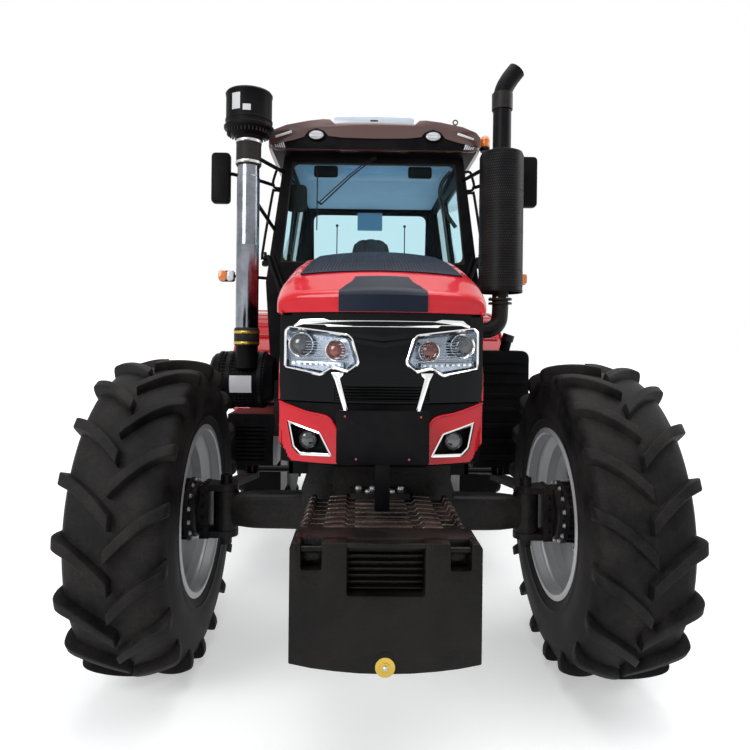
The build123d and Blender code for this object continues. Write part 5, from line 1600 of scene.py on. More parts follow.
@dataclass(frozen=True)
class Roof:
    """Cab roof with its painted visor, lamps, vents and hatch.

    Attributes:
        rows: Distance behind the front axle, half width, lower edge, side top and crown of the shell.
        visor: Right half of the visor's outline, seen from ahead.
        lamp: Place of the left work lamp, seen from ahead.
    """

    rows: tuple[tuple[float, ...], ...] = (
        (1.236, 0.690, 2.846, 2.930, 3.018), (1.250, 0.715, 2.842, 2.945, 3.034),
        (1.300, 0.730, 2.842, 2.965, 3.044), (1.500, 0.735, 2.842, 2.985, 3.054),
        (2.100, 0.735, 2.842, 2.990, 3.054), (2.800, 0.733, 2.842, 2.985, 3.052),
        (2.960, 0.722, 2.842, 2.965, 3.036), (3.010, 0.690, 2.846, 2.920, 3.000),
        (3.019, 0.660, 2.856, 2.900, 2.980))
    visor: tuple[Pair, ...] = (
        (0.0, 3.016), (0.268, 3.012), (0.304, 3.044), (0.350, 3.046), (0.450, 3.034), (0.600, 3.004),
        (0.690, 2.968), (0.722, 2.930), (0.716, 2.872), (0.660, 2.876), (0.560, 2.898), (0.480, 2.922),
        (0.450, 2.962), (0.397, 2.982), (0.344, 2.962), (0.315, 2.930), (0.220, 2.920), (0.0, 2.916))
    lamp: Pair = (0.397, 2.936)

    @property
    def face(self) -> float:
        """Y of the visor's front."""
        return aft(1.2215)

    def shell(self) -> None:
        """Build the roof's shell and its painted visor."""
        rings = []
        for y, half, low, side, crown in smooth_rows(self.rows, 3):
            arc = [(half * f, side + (crown - side) * (1 - abs(f) ** 2.6)) for f in
                   (0.985, 0.95, 0.88, 0.75, 0.55, 0.3, 0.0)]
            right = [(half - 0.045, low), (half - 0.006, low + 0.010), (half, low + 0.030),
                     (half, side - 0.020)] + arc
            rings.append([(x, aft(y), z) for x, z in right + other_side(right[:-1])])
        shape = Shape().loft(rings)
        shape.piece("roof_shell", BROWN, "chassis", "roof_brown", ["cab_roof"], 50)
        outline = other_side(self.visor[1:-1]) + list(self.visor)
        Shape().prism(fine(outline, 0.04), Axis.Y, self.face, aft(1.262), 0.004).piece(
            "roof_visor", BROWN, "chassis", "roof_brown", smooth=30)
        brow = [(-0.600, 2.846), (0.600, 2.846), (0.690, 2.880), (0.400, 2.975), (-0.400, 2.975),
                (-0.690, 2.880)]
        shape = Shape().prism(brow, Axis.Y, aft(1.232), aft(1.300), 0.004)
        shape.block((-0.700, 0.700), (1.262, 3.000), (2.8405, 2.852), 0.004)
        shape.piece("roof_brow", PLASTIC, "chassis", "black_plastic")

    def lamps(self) -> None:
        """Build the work lamps, the corner lights and the vents."""
        body, glass, face = Shape(), Shape(), self.face
        for sign in (-1, 1):
            x, z = sign * self.lamp[0], self.lamp[1]
            ring = [[(x + c * a, y, z + s * b) for c, s in circle(40)] for a, b, y in (
                (0.056, 0.036, face + 0.03), (0.060, 0.040, face + 0.002), (0.058, 0.038, face - 0.010),
                (0.051, 0.032, face - 0.011), (0.050, 0.031, face - 0.002), (0.050, 0.031, face + 0.03))]
            body.loft(ring, looped=True)
            lens = [[(x + c * a, y, z + s * b) for c, s in circle(40)] for a, b, y in (
                (0.050, 0.031, face + 0.012), (0.050, 0.031, face - 0.003), (0.043, 0.025, face - 0.006),
                (0.022, 0.012, face - 0.008))]
            glass.loft(lens)
        body.piece("work_lamp_bodies", PLASTIC, "chassis", "black_plastic", smooth=40)
        dome = [(face - 0.012, 0.0), (face - 0.0118, 0.006), (face - 0.006, 0.008),
                (face + 0.004, 0.008), (face + 0.004, 0.0)]
        for x in (self.lamp[0], -self.lamp[0]):
            led = Shape().lathe(dome, Axis.Y, (x - 0.027, self.lamp[1] - 0.010), 16)
            glass.join(Pattern(4, 2, (0.018, 0.0, 0.0), (0.0, 0.0, 0.020)).spread(led, WHITE))
        glass.piece("work_lamp_glass", WHITE, "chassis", "lamp_lens", smooth=40)
        corner = [(0.560, 2.948), (0.672, 2.912), (0.676, 2.926), (0.566, 2.964)]
        strip = Shape().prism(corner, Axis.Y, face - 0.004, face + 0.01, 0.002)
        strip.mirror().piece("corner_lights", WHITE, "chassis", "lamp_lens")
        leaning = [(0.606, 2.850), (0.616, 2.850), (0.636, 2.908), (0.626, 2.908)]
        slat = Shape().prism(leaning, Axis.Y, face + 0.002, face + 0.014, 0.001)
        vents = Shape().join(Pattern(7, column_step=(0.0145, 0.003, 0.001)).spread(slat, GREY))
        vents.mirror().piece("roof_vents", GREY, "chassis", "hatch_grey")

    def fittings(self) -> None:
        """Build the lifting eye, the beacon and its bracket."""
        x, y, z = 0.574, aft(1.40), 3.098
        ring = [(x + 0.016 * math.cos(a), y, z + 0.016 * math.sin(a))
                for a in (FULL_TURN * k / 24 for k in range(25))]
        eye = Shape().tube(ring, 0.0045, 10)
        eye.lathe([(2.990, 0.0), (2.990, 0.014), (3.078, 0.010), (3.084, 0.0)], Axis.Z, (x, y), 20)
        eye.piece("lifting_eye", STEEL, "chassis", "black_paint")
        spot = (0.772, aft(1.330))
        socket = [(2.871, 0.0), (2.871, 0.033), (2.896, 0.034), (2.904, 0.029), (2.904, 0.0)]
        base = Shape().lathe(socket, Axis.Z, spot, 36)
        base.block((0.700, 0.765), (1.316, 1.344), (2.881, 2.899), 0.003)
        base.piece("beacon_base", PLASTIC, "chassis", "black_plastic")
        dome = [(2.900, 0.0), (2.900, 0.030), (2.915, 0.033), (2.955, 0.031), (2.974, 0.024),
                (2.983, 0.010), (2.984, 0.0)]
        shape = Shape().lathe(dome, Axis.Z, spot, 36)
        ridge = Shape().collar(Axis.Z, (2.906, 2.909), (0.030, 0.0338), spot, 36)
        shape.join(Pattern(7, column_step=(0.0, 0.0, 0.0072)).spread(ridge, AMBER))
        shape.piece("beacon", AMBER, "chassis", "lamp_lens", smooth=40)

    def hatch(self) -> None:
        """Build the roof hatch with its seal, hinges and handle slot."""
        low, high = corners("roof_hatch")
        x, y = high.x - 0.002, (behind(low.y), behind(high.y) - 0.03)
        lid = Shape().block((-x, x), y, (3.064, 3.080), 0.006)
        lid.block((-x + 0.035, x - 0.035), (y[0] + 0.035, y[1] - 0.035), (3.076, 3.0845), 0.004)
        for k in range(-3, 4):
            across = (k * 0.068 - 0.008, k * 0.068 + 0.008)
            lid.block(across, (y[0] + 0.35, y[1] - 0.06), (3.080, 3.0848), 0.002)
        crown = []
        for back, top in ((0.0, 3.158), (0.012, 3.167), (0.100, 3.152), (0.330, 3.086)):
            ring = [(-x, 3.068), (x, 3.068), (x, top - 0.010), (x - 0.020, top), (0.0, top + 0.005),
                    (0.020 - x, top), (-x, top - 0.010)]
            crown.append([(at, aft(y[0] + back), z) for at, z in ring])
        lid.loft(crown, bevel=0.004)
        for side in (-0.18, 0.18):
            lid.tube([(side - 0.03, high.y - 0.010, 3.076), (side + 0.03, high.y - 0.010, 3.076)],
                     0.0085)
            lid.block((side - 0.018, side + 0.018), (y[1] - 0.02, y[1] + 0.016), (3.070, 3.082), 0.003)
        lid.piece("hatch_lid", GREY, "roof_hatch", "hatch_grey", ["roof_hatch"])
        trim = Shape().block((-x + 0.008, x - 0.008), (y[0] + 0.008, y[1] - 0.008),
                             (3.0555, 3.066), 0.003)
        trim.piece("hatch_seal", SEAL, "roof_hatch", "black_plastic")
        slot = Shape().block((-0.028, 0.028), (y[0] - 0.002, y[0] + 0.01), (3.126, 3.137), 0.002)
        slot.piece("hatch_slot", PLASTIC, "roof_hatch", "black_plastic")

    def build(self) -> None:
        """Build the whole roof."""
        self.shell()
        self.lamps()
        self.fittings()
        self.hatch()


@dataclass(frozen=True)
class Intake:
    """Air cleaner, chrome riser and pre-cleaner on the tractor's right.

    Attributes:
        x: Place of the riser across the tractor.
        y: Place of the riser behind the front axle.
        pipe: Outer radius of the riser.
        drum: Radius of the air cleaner.
    """

    x: float = -0.800
    y: float = 0.930
    pipe: float = 0.071
    drum: float = 0.180

    @property
    def middle(self) -> Pair:
        """X and Y of the riser's axis."""
        return self.x, aft(self.y)

    def stack(self, profile: Sequence[Pair]) -> Shape:
        """Turned part on the riser's axis."""
        return Shape().lathe(profile, Axis.Z, self.middle, 56)

    def build(self) -> None:
        """Build the cleaner, the pipe with its clamps and the bowl."""
        r = self.pipe
        pipe = [(1.508, 0.0), (1.508, r - 0.003), (1.540, r - 0.003), (1.546, r), (2.130, r),
                (2.134, r + 0.0008), (2.138, r), (2.560, r), (2.565, r - 0.003), (2.640, r - 0.003),
                (2.640, 0.0)]
        self.stack(pipe).piece("intake_riser", STAINLESS, "chassis", "chrome", ["intake_pipe"], 30)
        hose = [(2.630, 0.0), (2.630, r + 0.004), (2.640, r + 0.007), (2.780, r + 0.007),
                (2.800, r + 0.004), (2.800, 0.0)]
        cuff = [(1.500, 0.0), (1.500, r + 0.004), (1.512, r + 0.008), (1.600, r + 0.008),
                (1.612, r + 0.004), (1.612, 0.0)]
        self.stack(hose).lathe(cuff, Axis.Z, self.middle, 56).piece(
            "intake_hoses", SEAL, "chassis", "black_plastic")
        bands, gold, wide = Shape(), Shape(), r + 0.007
        for z, target in ((2.648, bands), (2.780, bands), (1.585, gold), (1.518, gold)):
            target.collar(Axis.Z, (z - 0.008, z + 0.008), (wide - 0.003, wide + 0.003), self.middle, 56)
            target.block((self.x - 0.02, self.x + 0.02), (self.y - wide - 0.014, self.y - wide + 0.002),
                         (z - 0.006, z + 0.006), 0.002)
        bands.piece("hose_clamps", BRIGHT, "chassis", "bright_steel")
        gold.piece("cuff_clamps", ZINC, "chassis", "bright_steel")
        self.bowl()
        self.cleaner()

    def bowl(self) -> None:
        """Build the pre-cleaner with its slots and blank stickers."""
        profile = [(2.792, 0.0), (2.792, 0.080), (2.812, 0.088), (2.828, 0.118), (2.846, 0.140),
                   (2.858, 0.154), (2.872, 0.156), (2.878, 0.150), (2.884, 0.144), (2.900, 0.144),
                   (2.904, 0.1475), (2.914, 0.1475), (2.918, 0.143), (3.060, 0.143), (3.066, 0.146),
                   (3.076, 0.147), (3.086, 0.140), (3.092, 0.110), (3.096, 0.0)]
        self.stack(profile).piece(
            "pre_cleaner_bowl", PLASTIC, "chassis", "black_plastic", ["pre_cleaner"], 35)
        across, deep = (self.x - 0.0035, self.x + 0.0035), (self.y - 0.137, self.y - 0.126)
        slot = Shape().block(across, deep, (2.822, 2.850), 0.001)
        ring = Pattern.around(36, Axis.Z, (*self.middle, 0.0))
        Shape().join(ring.spread(slot, SEAL)).piece("bowl_slots", SEAL, "chassis", "black_plastic")
        labels = Shape()
        for start, end, low, high in ((-0.62, -0.22, 2.945, 3.045), (-0.10, 0.24, 2.935, 2.972)):
            rows = []
            for z in (low, high):
                rows.append([(self.x + 0.1438 * math.sin(a), aft(self.y) - 0.1438 * math.cos(a), z)
                             for a in (start + (end - start) * k / 8 for k in range(9))])
            labels.skin(rows, 0.001)
        labels.piece("bowl_stickers", LABEL, "chassis", "black_plastic")

    def cleaner(self) -> None:
        """Build the air cleaner's drum with its lattice of ribs."""
        back, z, r = 1.085, 1.280, self.drum
        y, foot = aft(back), corners("air_cleaner")[0].z
        x0, x1 = -1.050, -0.642
        profile = [(x0, 0.0), (x0, 0.120), (x0 + 0.012, r - 0.030), (x0 + 0.030, r - 0.012),
                   (x0 + 0.060, r - 0.006), (x0 + 0.062, r + 0.004), (x0 + 0.078, r + 0.004),
                   (x0 + 0.080, r - 0.006), (x1 - 0.050, r - 0.006), (x1 - 0.030, r - 0.020),
                   (x1, r - 0.040), (x1, 0.0)]
        shape = Shape().lathe(profile, Axis.X, (y, z), 64)
        shape.block((x0 + 0.11, x0 + 0.15), (back - 0.10, back + 0.10),
                    (max(foot, z - 0.21), z - 0.12), 0.004)
        shape.lathe([(1.360, 0.0), (1.360, 0.070), (1.500, 0.070), (1.506, 0.066), (1.506, 0.0)], Axis.Z,
                    self.middle, 48)
        rib = Shape().block((x0 + 0.086, x1 - 0.054), (1.0815, 1.0885),
                            (z + r - 0.008, z + r + 0.003), 0.001)
        shape.join(Pattern.around(48, Axis.X, (0.0, y, z)).spread(rib, PLASTIC))
        band = Shape().collar(Axis.X, (x0 + 0.095, x0 + 0.099), (r - 0.008, r + 0.003), (y, z), 64)
        shape.join(Pattern(10, column_step=(0.026, 0.0, 0.0)).spread(band, PLASTIC))
        shape.piece("air_cleaner_drum", PLASTIC, "chassis", "black_plastic", ["air_cleaner"], 30)
        straps = Shape()
        for x in (x0 + 0.118, x1 - 0.092):
            straps.collar(Axis.X, (x, x + 0.026), (r, r + 0.006), (y, z), 64)
            deep = (back - r - 0.002, back - r + 0.010)
            straps.block((x - 0.004, x + 0.030), deep, (z - 0.04, z + 0.02), 0.003)
        straps.piece("cleaner_straps", BLACK, "chassis", "black_paint")
        rows = [[(x, y - (r + 0.005) * math.cos(a), z + (r + 0.005) * math.sin(a))
                 for x in (x0 + 0.148, x0 + 0.286)] for a in (-0.42 + 0.10 * k for k in range(7))]
        Shape().skin(rows, 0.001).piece("cleaner_label", LABEL, "chassis", "black_plastic")


@dataclass(frozen=True)
class Exhaust:
    """Muffler with its perforated shield, stack and elbow on the tractor's left.

    Attributes:
        x: Place of the muffler across the tractor.
        y: Place of the muffler behind the front axle.
        shell: Radius of the shield.
        low: Height of the shield's lower edge.
        high: Height of the shield's top.
        stack: Radius of the stack.
    """

    x: float = 0.785
    y: float = 0.870
    shell: float = 0.1345
    low: float = 1.846
    high: float = 2.722
    stack: float = 0.056

    def can(self) -> None:
        """Build the muffler's body and its shield."""
        x, y, r = self.x, aft(self.y), self.shell
        body = [(self.low + 0.03, 0.0), (self.low + 0.03, r - 0.035), (self.low + 0.06, r - 0.015),
                (self.high - 0.06, r - 0.015), (self.high - 0.03, r - 0.035), (self.high - 0.03, 0.0)]
        Shape().lathe(body, Axis.Z, (x, y), 56).piece(
            "muffler_can", STEEL, "chassis", "black_steel", ["muffler"])
        shield = [(self.low, r - 0.003), (self.low, r), (self.low + 0.010, r + 0.002),
                  (self.low + 0.018, r), (self.high - 0.030, r), (self.high - 0.010, r - 0.008),
                  (self.high, r - 0.030), (self.high, self.stack + 0.004),
                  (self.high - 0.003, self.stack + 0.004), (self.high - 0.003, r - 0.032),
                  (self.high - 0.012, r - 0.011), (self.high - 0.031, r - 0.003)]
        shape = Shape().lathe(shield, Axis.Z, (x, y), 96, True)
        back = self.y + r
        shape.block((x - 0.012, x + 0.012), (back - 0.004, back + 0.002),
                    (self.low, self.high - 0.04), 0.001)
        shape.piece("muffler_shield", BLACK, "chassis", "black_steel")
        dot = [(x + 0.0048 * c, self.low + 0.040 + 0.0048 * s) for c, s in circle(6)]
        hole = Shape().prism(dot, Axis.Y, y - r - 0.0007, y - r + 0.002)
        field = Pattern(60, 50, row_step=(0.0, 0.0, 0.0163), column_turn=(0.0, 0.0, FULL_TURN / 60),
                        row_turn=(0.0, 0.0, FULL_TURN / 120), centre=(x, y, 0.0))
        Shape().join(field.spread(hole, SEAL)).piece("shield_holes", SEAL, "chassis", "black_steel")
        seam = Shape().block((x - 0.006, x + 0.006), (self.y - r - 0.0016, self.y - r + 0.002),
                             (self.low + 0.14, self.low + 0.142), 0.0)
        line = Pattern(44, 3, (0.0, 0.0, -0.0016), (0.0, 0.0, 0.245), (0.0, 0.0, FULL_TURN / 44),
                       centre=(x, y, 0.0))
        Shape().join(line.spread(seam, BRIGHT)).piece("shield_seams", BLACK, "chassis", "black_steel")

    def pipes(self) -> None:
        """Build the stack with its bend, the collar and the elbow to the engine."""
        x, y, r = self.x, aft(self.y), self.stack
        path = [(x, y, self.high - 0.02), (x, y, 2.95), (x, y, 3.06), (x + 0.012, y, 3.120),
                (x + 0.045, y, 3.180), (x + 0.088, y, 3.236)]
        shape = Shape().tube(path, r, 32, 6)
        shape.lathe([(self.high - 0.01, r), (self.high - 0.01, r + 0.010),
                     (self.high + 0.015, r + 0.006), (self.high + 0.020, r)], Axis.Z, (x, y), 48, True)
        shape.piece("exhaust_stack", BLACK, "chassis", "black_steel", smooth=50)
        collar = [(2.985, r), (2.985, r + 0.008), (3.085, r + 0.008), (3.088, r + 0.004), (3.088, r)]
        Shape().lathe(collar, Axis.Z, (x, y), 48, True).piece(
            "stack_collar", STEEL, "chassis", "black_steel")
        mouth = Shape().tube([path[-1], (x + 0.0885, y, 3.2366)], 0.0475, 32)
        mouth.piece("stack_mouth", SEAL, "chassis", "black_steel")
        run = [(0.292, y, 1.612), (0.60, y, 1.612), (0.72, y, 1.618), (x - 0.012, y, 1.66), (x, y, 1.73),
               (x, y, 1.86)]
        low = Shape().tube(run, 0.050, 28, 6)
        for z in (1.775, 1.800):
            low.collar(Axis.Z, (z, z + 0.012), (0.050, 0.072), (x, y), 40)
        for at in (0.40, 0.58):
            low.collar(Axis.X, (at, at + 0.02), (0.050, 0.062), (y, 1.612), 40)
        low.piece("exhaust_pipe", STEEL, "chassis", "black_steel", ["exhaust_elbow"], 50)
        ring = Pattern.around(6, Axis.Z, (x, y, 0.0))
        bolts = Shape().join(ring.spread(bolt((x + 0.061, y, 1.812), Axis.Z, 1, 0.007), BRIGHT))
        bolts.piece("flange_bolts", BRIGHT, "chassis", "bright_steel", smooth=30)

    def build(self) -> None:
        """Build the whole exhaust."""
        self.can()
        self.pipes()


@dataclass(frozen=True)
class Flanks:
    """What stands beside the engine and the cab: tank, battery box, mirrors, lamps and steps."""

    def tank(self) -> None:
        """Build the ribbed fuel tank with its slanted neck and cap."""
        x0, x1, y0, y1, z1 = 0.637, 0.985, 0.902, 1.388, 1.488
        outline = rounded([(x0, 0.702), (x1, 0.702), (x1, z1), (x0, z1)], 0.055, 8)
        shape = Shape().prism(outline, Axis.Y, aft(y0 + 0.010), aft(y1), 0.012)
        for z in (0.80, 0.90, 1.00, 1.10, 1.19, 1.27, 1.34, 1.40):
            shape.block((x0 + 0.020, x1 - 0.020), (y0 + 0.001, y0 + 0.016), (z, z + 0.030), 0.006)
            shape.block((x1 - 0.012, x1 + 0.0015), (y0 + 0.050, y1 - 0.040), (z, z + 0.030), 0.004)
        neck = [(0.830, aft(0.960), 1.470), (0.850, aft(0.954), 1.550), (0.862, aft(0.950), 1.582)]
        shape.tube(neck, 0.032, 28)
        shape.piece("tank", PLASTIC, "chassis", "black_plastic", ["fuel_tank"], 30)
        cap = Shape().tube([(0.853, aft(0.953), 1.560), (0.863, aft(0.950), 1.590)], [0.038, 0.036], 28)
        cap.tube([(0.8495, aft(0.954), 1.548), (0.853, aft(0.953), 1.562)], 0.0385, 20)
        cap.piece("tank_cap", SEAL, "chassis", "black_plastic")
        straps = Shape()
        for y in (y0 + 0.12, y1 - 0.14):
            for z in (0.7005, z1 - 0.002):
                straps.block((x0 + 0.03, x1 - 0.045), (y, y + 0.035), (z, z + 0.003), 0.001)
            straps.block((x1 - 0.004, x1 + 0.0018), (y, y + 0.035), (0.75, 1.43), 0.001)
        straps.piece("tank_straps", BLACK, "chassis", "black_paint")

    def battery(self) -> None:
        """Dress the battery box with a lid and louvres."""
        low, high = corners("battery_box")
        y0 = behind(low.y)
        lid = Shape().block((low.x + 0.002, high.x), (y0 + 0.002, y0 + 0.37), (1.030, 1.0595), 0.006)
        lid.piece("battery_lid", PLASTIC, "chassis", "black_paint")
        slat = Shape().block((low.x + 0.05, -0.69), (y0, y0 + 0.006), (0.760, 0.772), 0.002)
        grid = Shape().join(Pattern(9, column_step=(0.0, 0.0, 0.026)).spread(slat, BLACK))
        grid.piece("battery_louvres", BLACK, "chassis", "black_paint")

    def mirrors(self) -> None:
        """Build the two mirrors with their heads, glass, arms and clamps."""
        head, glass = Shape(), Shape()
        face = rounded([(0.952, 2.437), (1.076, 2.437), (1.076, 2.771), (0.952, 2.771)], 0.030, 5)
        head.prism(face, Axis.Y, aft(1.090), aft(1.150), 0.014)
        head.tube([(0.71, aft(1.43), 2.643), (0.80, aft(1.30), 2.643), (0.94, aft(1.16), 2.643),
                   (0.99, aft(1.142), 2.643)], 0.012, 12, 3)
        for z in (2.560, 2.690):
            head.rod(Axis.Z, (z, z + 0.030), 0.013, (0.968, aft(1.142)), 16)
        head.mirror().piece("mirror_heads", PLASTIC, "chassis", "black_plastic", ["mirrors"], 40)
        pane = rounded([(0.962, 2.450), (1.066, 2.450), (1.066, 2.758), (0.962, 2.758)], 0.022, 5)
        glass.prism(pane, Axis.Y, aft(1.1490), aft(1.1515), 0.0008)
        glass.mirror().piece("mirror_glass", CHROME_PAINTED_REFLECTIONS, "chassis", "black_plastic")

    def lamps(self) -> None:
        """Build the side lamps and the tail lamps."""
        box, amber, white, red = Shape(), Shape(), Shape(), Shape()
        box.tube([(0.735, aft(1.43), 1.980), (0.86, aft(1.34), 1.980), (0.975, aft(1.312), 1.980)],
                 0.011, 12, 3)
        box.prism(rounded([(0.958, 1.943), (1.062, 1.943), (1.062, 2.017), (0.958, 2.017)], 0.016),
                  Axis.Y, aft(1.290), aft(1.342), 0.006)
        amber.prism(rounded([(1.006, 1.945), (1.062, 1.945), (1.062, 2.015), (1.006, 2.015)], 0.018),
                    Axis.Y, aft(1.268), aft(1.296), 0.010)
        white.prism(rounded([(0.958, 1.945), (1.005, 1.945), (1.005, 2.015), (0.958, 2.015)], 0.018),
                    Axis.Y, aft(1.270), aft(1.296), 0.010)
        low, high = 3.602, 3.648
        box.block((0.868, 1.068), (low, high - 0.012), (1.538, 1.617), 0.008)
        box.block((0.920, 0.955), (3.482, low + 0.01), (1.553, 1.597), 0.005)
        red.block((0.874, 0.965), (high - 0.014, high), (1.544, 1.611), 0.005)
        amber.block((0.968, 1.030), (high - 0.014, high), (1.544, 1.611), 0.005)
        white.block((1.033, 1.062), (high - 0.014, high), (1.544, 1.611), 0.005)
        for shape, name, finish, slot in ((box, "lamp_boxes", PLASTIC, "black_plastic"),
                                          (amber, "amber_lenses", AMBER, "lamp_lens"),
                                          (white, "white_lenses", WHITE, "lamp_lens"),
                                          (red, "red_lenses", RED_LENS, "lamp_lens")):
            shape.mirror().piece(name, finish, "chassis", slot, ["lamps"] if shape is box else ())

    def steps(self) -> None:
        """Build the steps with toothed, open treads."""
        shape = Shape()
        for z in (0.430, 0.720, 1.010):
            for x, y in (((0.642, 0.898), (1.452, 1.466)), ((0.642, 0.898), (1.844, 1.858)),
                         ((0.884, 0.898), (1.452, 1.858)), ((0.642, 0.656), (1.452, 1.858))):
                shape.block(x, y, (z, z + 0.025), 0.003)
            bar = Shape().block((0.650, 0.890), (1.488, 1.494), (z + 0.004, z + 0.022), 0.001)
            for x in ((0.700, 0.712), (0.830, 0.842)):
                bar.block(x, (1.470, 1.512), (z + 0.006, z + 0.018), 0.001)
            shape.join(Pattern(9, column_step=(0.0, 0.041, 0.0)).spread(bar, BLACK))
            wedge = [(aft(1.4885), z + 0.020), (aft(1.4935), z + 0.020), (aft(1.491), z + 0.0248)]
            tooth = Shape().prism(wedge, Axis.X, 0.662, 0.674)
            shape.join(Pattern(9, 7, (0.0, 0.041, 0.0), (0.034, 0.0, 0.0)).spread(tooth, BLACK))
        shape.mirror().piece("step_treads", BLACK, "chassis", "black_paint")

    def build(self) -> None:
        """Build all of them."""
        self.tank()
        self.battery()
        self.mirrors()
        self.lamps()
        self.steps()


def hoop(outline: Sequence[Pair], wide: float, radius: float, axis: Axis, low: float,
         high: float) -> Shape:
    """Flat ring inside an outline, with round inner corners.

    Args:
        outline: Outer corners of the ring.
        wide: Width of the ring.
        radius: Radius of its inner corners.
        axis: Axis that it faces along.
        low: Its lower limit on the axis.
        high: Its upper limit on the axis.

    Returns:
        The ring.
    """
    outer, inner = rounded(outline, 0.006), rounded(inset(outline, wide), radius)
    lines = ((outer, low), (inner, low), (inner, high), (outer, high))
    return Shape().loft([[axis.point(at, *p) for p in line] for line, at in lines], looped=True)


@dataclass(frozen=True)
class Cab:
    """Trim of the cab: seals, wiper, handles, hinges, rails and fender edges.

    Attributes:
        floor: Height of the cab's floor and its half width there.
        waist: Height of the waist and its half width.
        top: Height of the top and its half width.
        front: Distance of the front wall behind the front axle.
    """

    floor: Pair = (1.150, 0.700)
    waist: Pair = (1.950, 0.755)
    top: Pair = (2.840, 0.632)
    front: float = 1.400

    def side(self, z: float) -> float:
        """Half width of the cab at a height."""
        low, high = (self.floor, self.waist) if z < self.waist[0] else (self.waist, self.top)
        return low[1] + (high[1] - low[1]) * (z - low[0]) / (high[0] - low[0])

    def lean(self, shape: Shape) -> Shape:
        """Lay a shape made at the waist's width against the cab's side."""
        for v in shape.mesh.verts:
            v.co.x += self.side(v.co.z) - self.waist[1]
        return shape

    def windscreen(self) -> None:
        """Build the front and rear seals, the sun pads and the wiper."""
        face = aft(self.front)
        front = [(-0.652, 2.092), (0.652, 2.092), (0.576, 2.800), (-0.576, 2.800)]
        rear = [(-0.545, 1.575), (0.545, 1.575), (0.565, 2.785), (-0.565, 2.785)]
        seals = hoop(front, 0.009, 0.060, Axis.Y, face - 0.004, face + 0.012)
        seals.add(hoop(rear, 0.028, 0.070, Axis.Y, aft(2.940), aft(2.953)))
        seals.piece("window_seals", SEAL, "chassis", "black_plastic")
        pads = Shape()
        for x in (-0.34, 0.33):
            pad = [(x - 0.085, 2.706), (x + 0.085, 2.706), (x + 0.085, 2.790), (x - 0.085, 2.790)]
            pads.prism(rounded(pad, 0.02), Axis.Y, face + 0.030, face + 0.040, 0.003)
        pads.piece("sun_pads", PLASTIC, "chassis", "black_plastic")
        y = face - 0.020
        hub = [(y - 0.004, 0.0), (y - 0.004, 0.016), (face + 0.004, 0.020), (face + 0.004, 0.0)]
        wiper = Shape().lathe(hub, Axis.Y, (0.0, 2.832), 24)
        wiper.tube([(0.004, y, 2.828), (-0.16, y - 0.004, 2.70), (-0.368, y, 2.500)], 0.0048, 8, 2)
        wiper.tube([(-0.020, y, 2.832), (-0.18, y - 0.004, 2.702), (-0.378, y, 2.520)], 0.0040, 8, 2)
        wiper.tube([(-0.366, y, 2.502), (-0.394, y, 2.520)], 0.007, 8)
        wiper.block((-0.402, -0.394), (self.front - 0.018, self.front - 0.008), (2.320, 2.775), 0.002)
        wiper.block((-0.4005, -0.3955), (self.front - 0.010, self.front + 0.0006), (2.325, 2.770), 0.001)
        wiper.piece("wiper", SEAL, "chassis", "black_plastic", smooth=40)
        # The blank sheet takes the lining's finish, so it glows too: painted light.
        sheet = Shape().block((-0.118, 0.118), (2.9335, 2.9345), (2.610, 2.780), 0.0)
        sheet.piece("blank_sheet", LINING_PAINTED_GLOW, "chassis", "black_plastic")

    def handles(self) -> None:
        """Build the grab rails beside the front posts and their feet."""
        rails = Shape()
        y = aft(self.front + 0.020)
        for z0, z1 in ((2.12, 2.60), (2.62, 2.75)):
            a, b = self.side(z0), self.side(z1)
            rails.tube([(a - 0.004, y, z0), (a + 0.035, y - 0.016, z0),
                        (a + 0.050, y - 0.020, z0 + 0.03), (b + 0.050, y - 0.020, z1 - 0.03),
                        (b + 0.035, y - 0.016, z1), (b - 0.004, y, z1)],
                       0.0095, 12, 3)
        hose = [(0.600, aft(1.30), 1.70), (0.640, aft(1.33), 1.86), (0.700, aft(1.375), 2.02),
                (0.742, aft(1.39), 2.14)]
        for inward, radius in ((0.0, 0.012), (0.035, 0.009)):
            rails.tube([(x - inward, along, z) for x, along, z in hose], radius, 12, 4)
        rails.mirror().piece("grab_rails", BLACK, "chassis", "black_paint", smooth=50)

    def doors(self) -> None:
        """Dress both doors with a glass seal, a handle and hinge pins."""
        for side, sign in SIDES:
            body = f"door_{side}"
            outline = [(aft(1.480), 1.220), (aft(1.855), 1.220), (aft(1.855), 1.905),
                       (aft(2.325), 1.945), (aft(2.325), 2.780), (aft(1.480), 2.780)]
            seal = hoop(inset(outline, 0.054), 0.016, 0.050, Axis.X, 0.7395, 0.7575)
            self.lean(seal)
            if sign < 0:
                seal.flip()
            seal.piece(f"door_seal_{side}", SEAL, body, "black_plastic")
            trim = Shape()
            trim.tube([(0.757, aft(2.250), 2.020), (0.792, aft(2.245), 2.030),
                       (0.794, aft(2.245), 2.130), (0.757, aft(2.250), 2.150)], 0.010, 12, 4)
            trim.block((0.750, 0.764), (2.225, 2.275), (2.000, 2.170), 0.004)
            self.lean(trim)
            for z in (1.400, 2.120):
                trim.rod(Axis.Z, (z - 0.052, z + 0.052), 0.011, (0.770, aft(1.463)), 20)
            if sign < 0:
                trim.flip()
            trim.piece(f"door_handle_{side}", GLOSS_BLACK, body, "black_plastic", smooth=40)

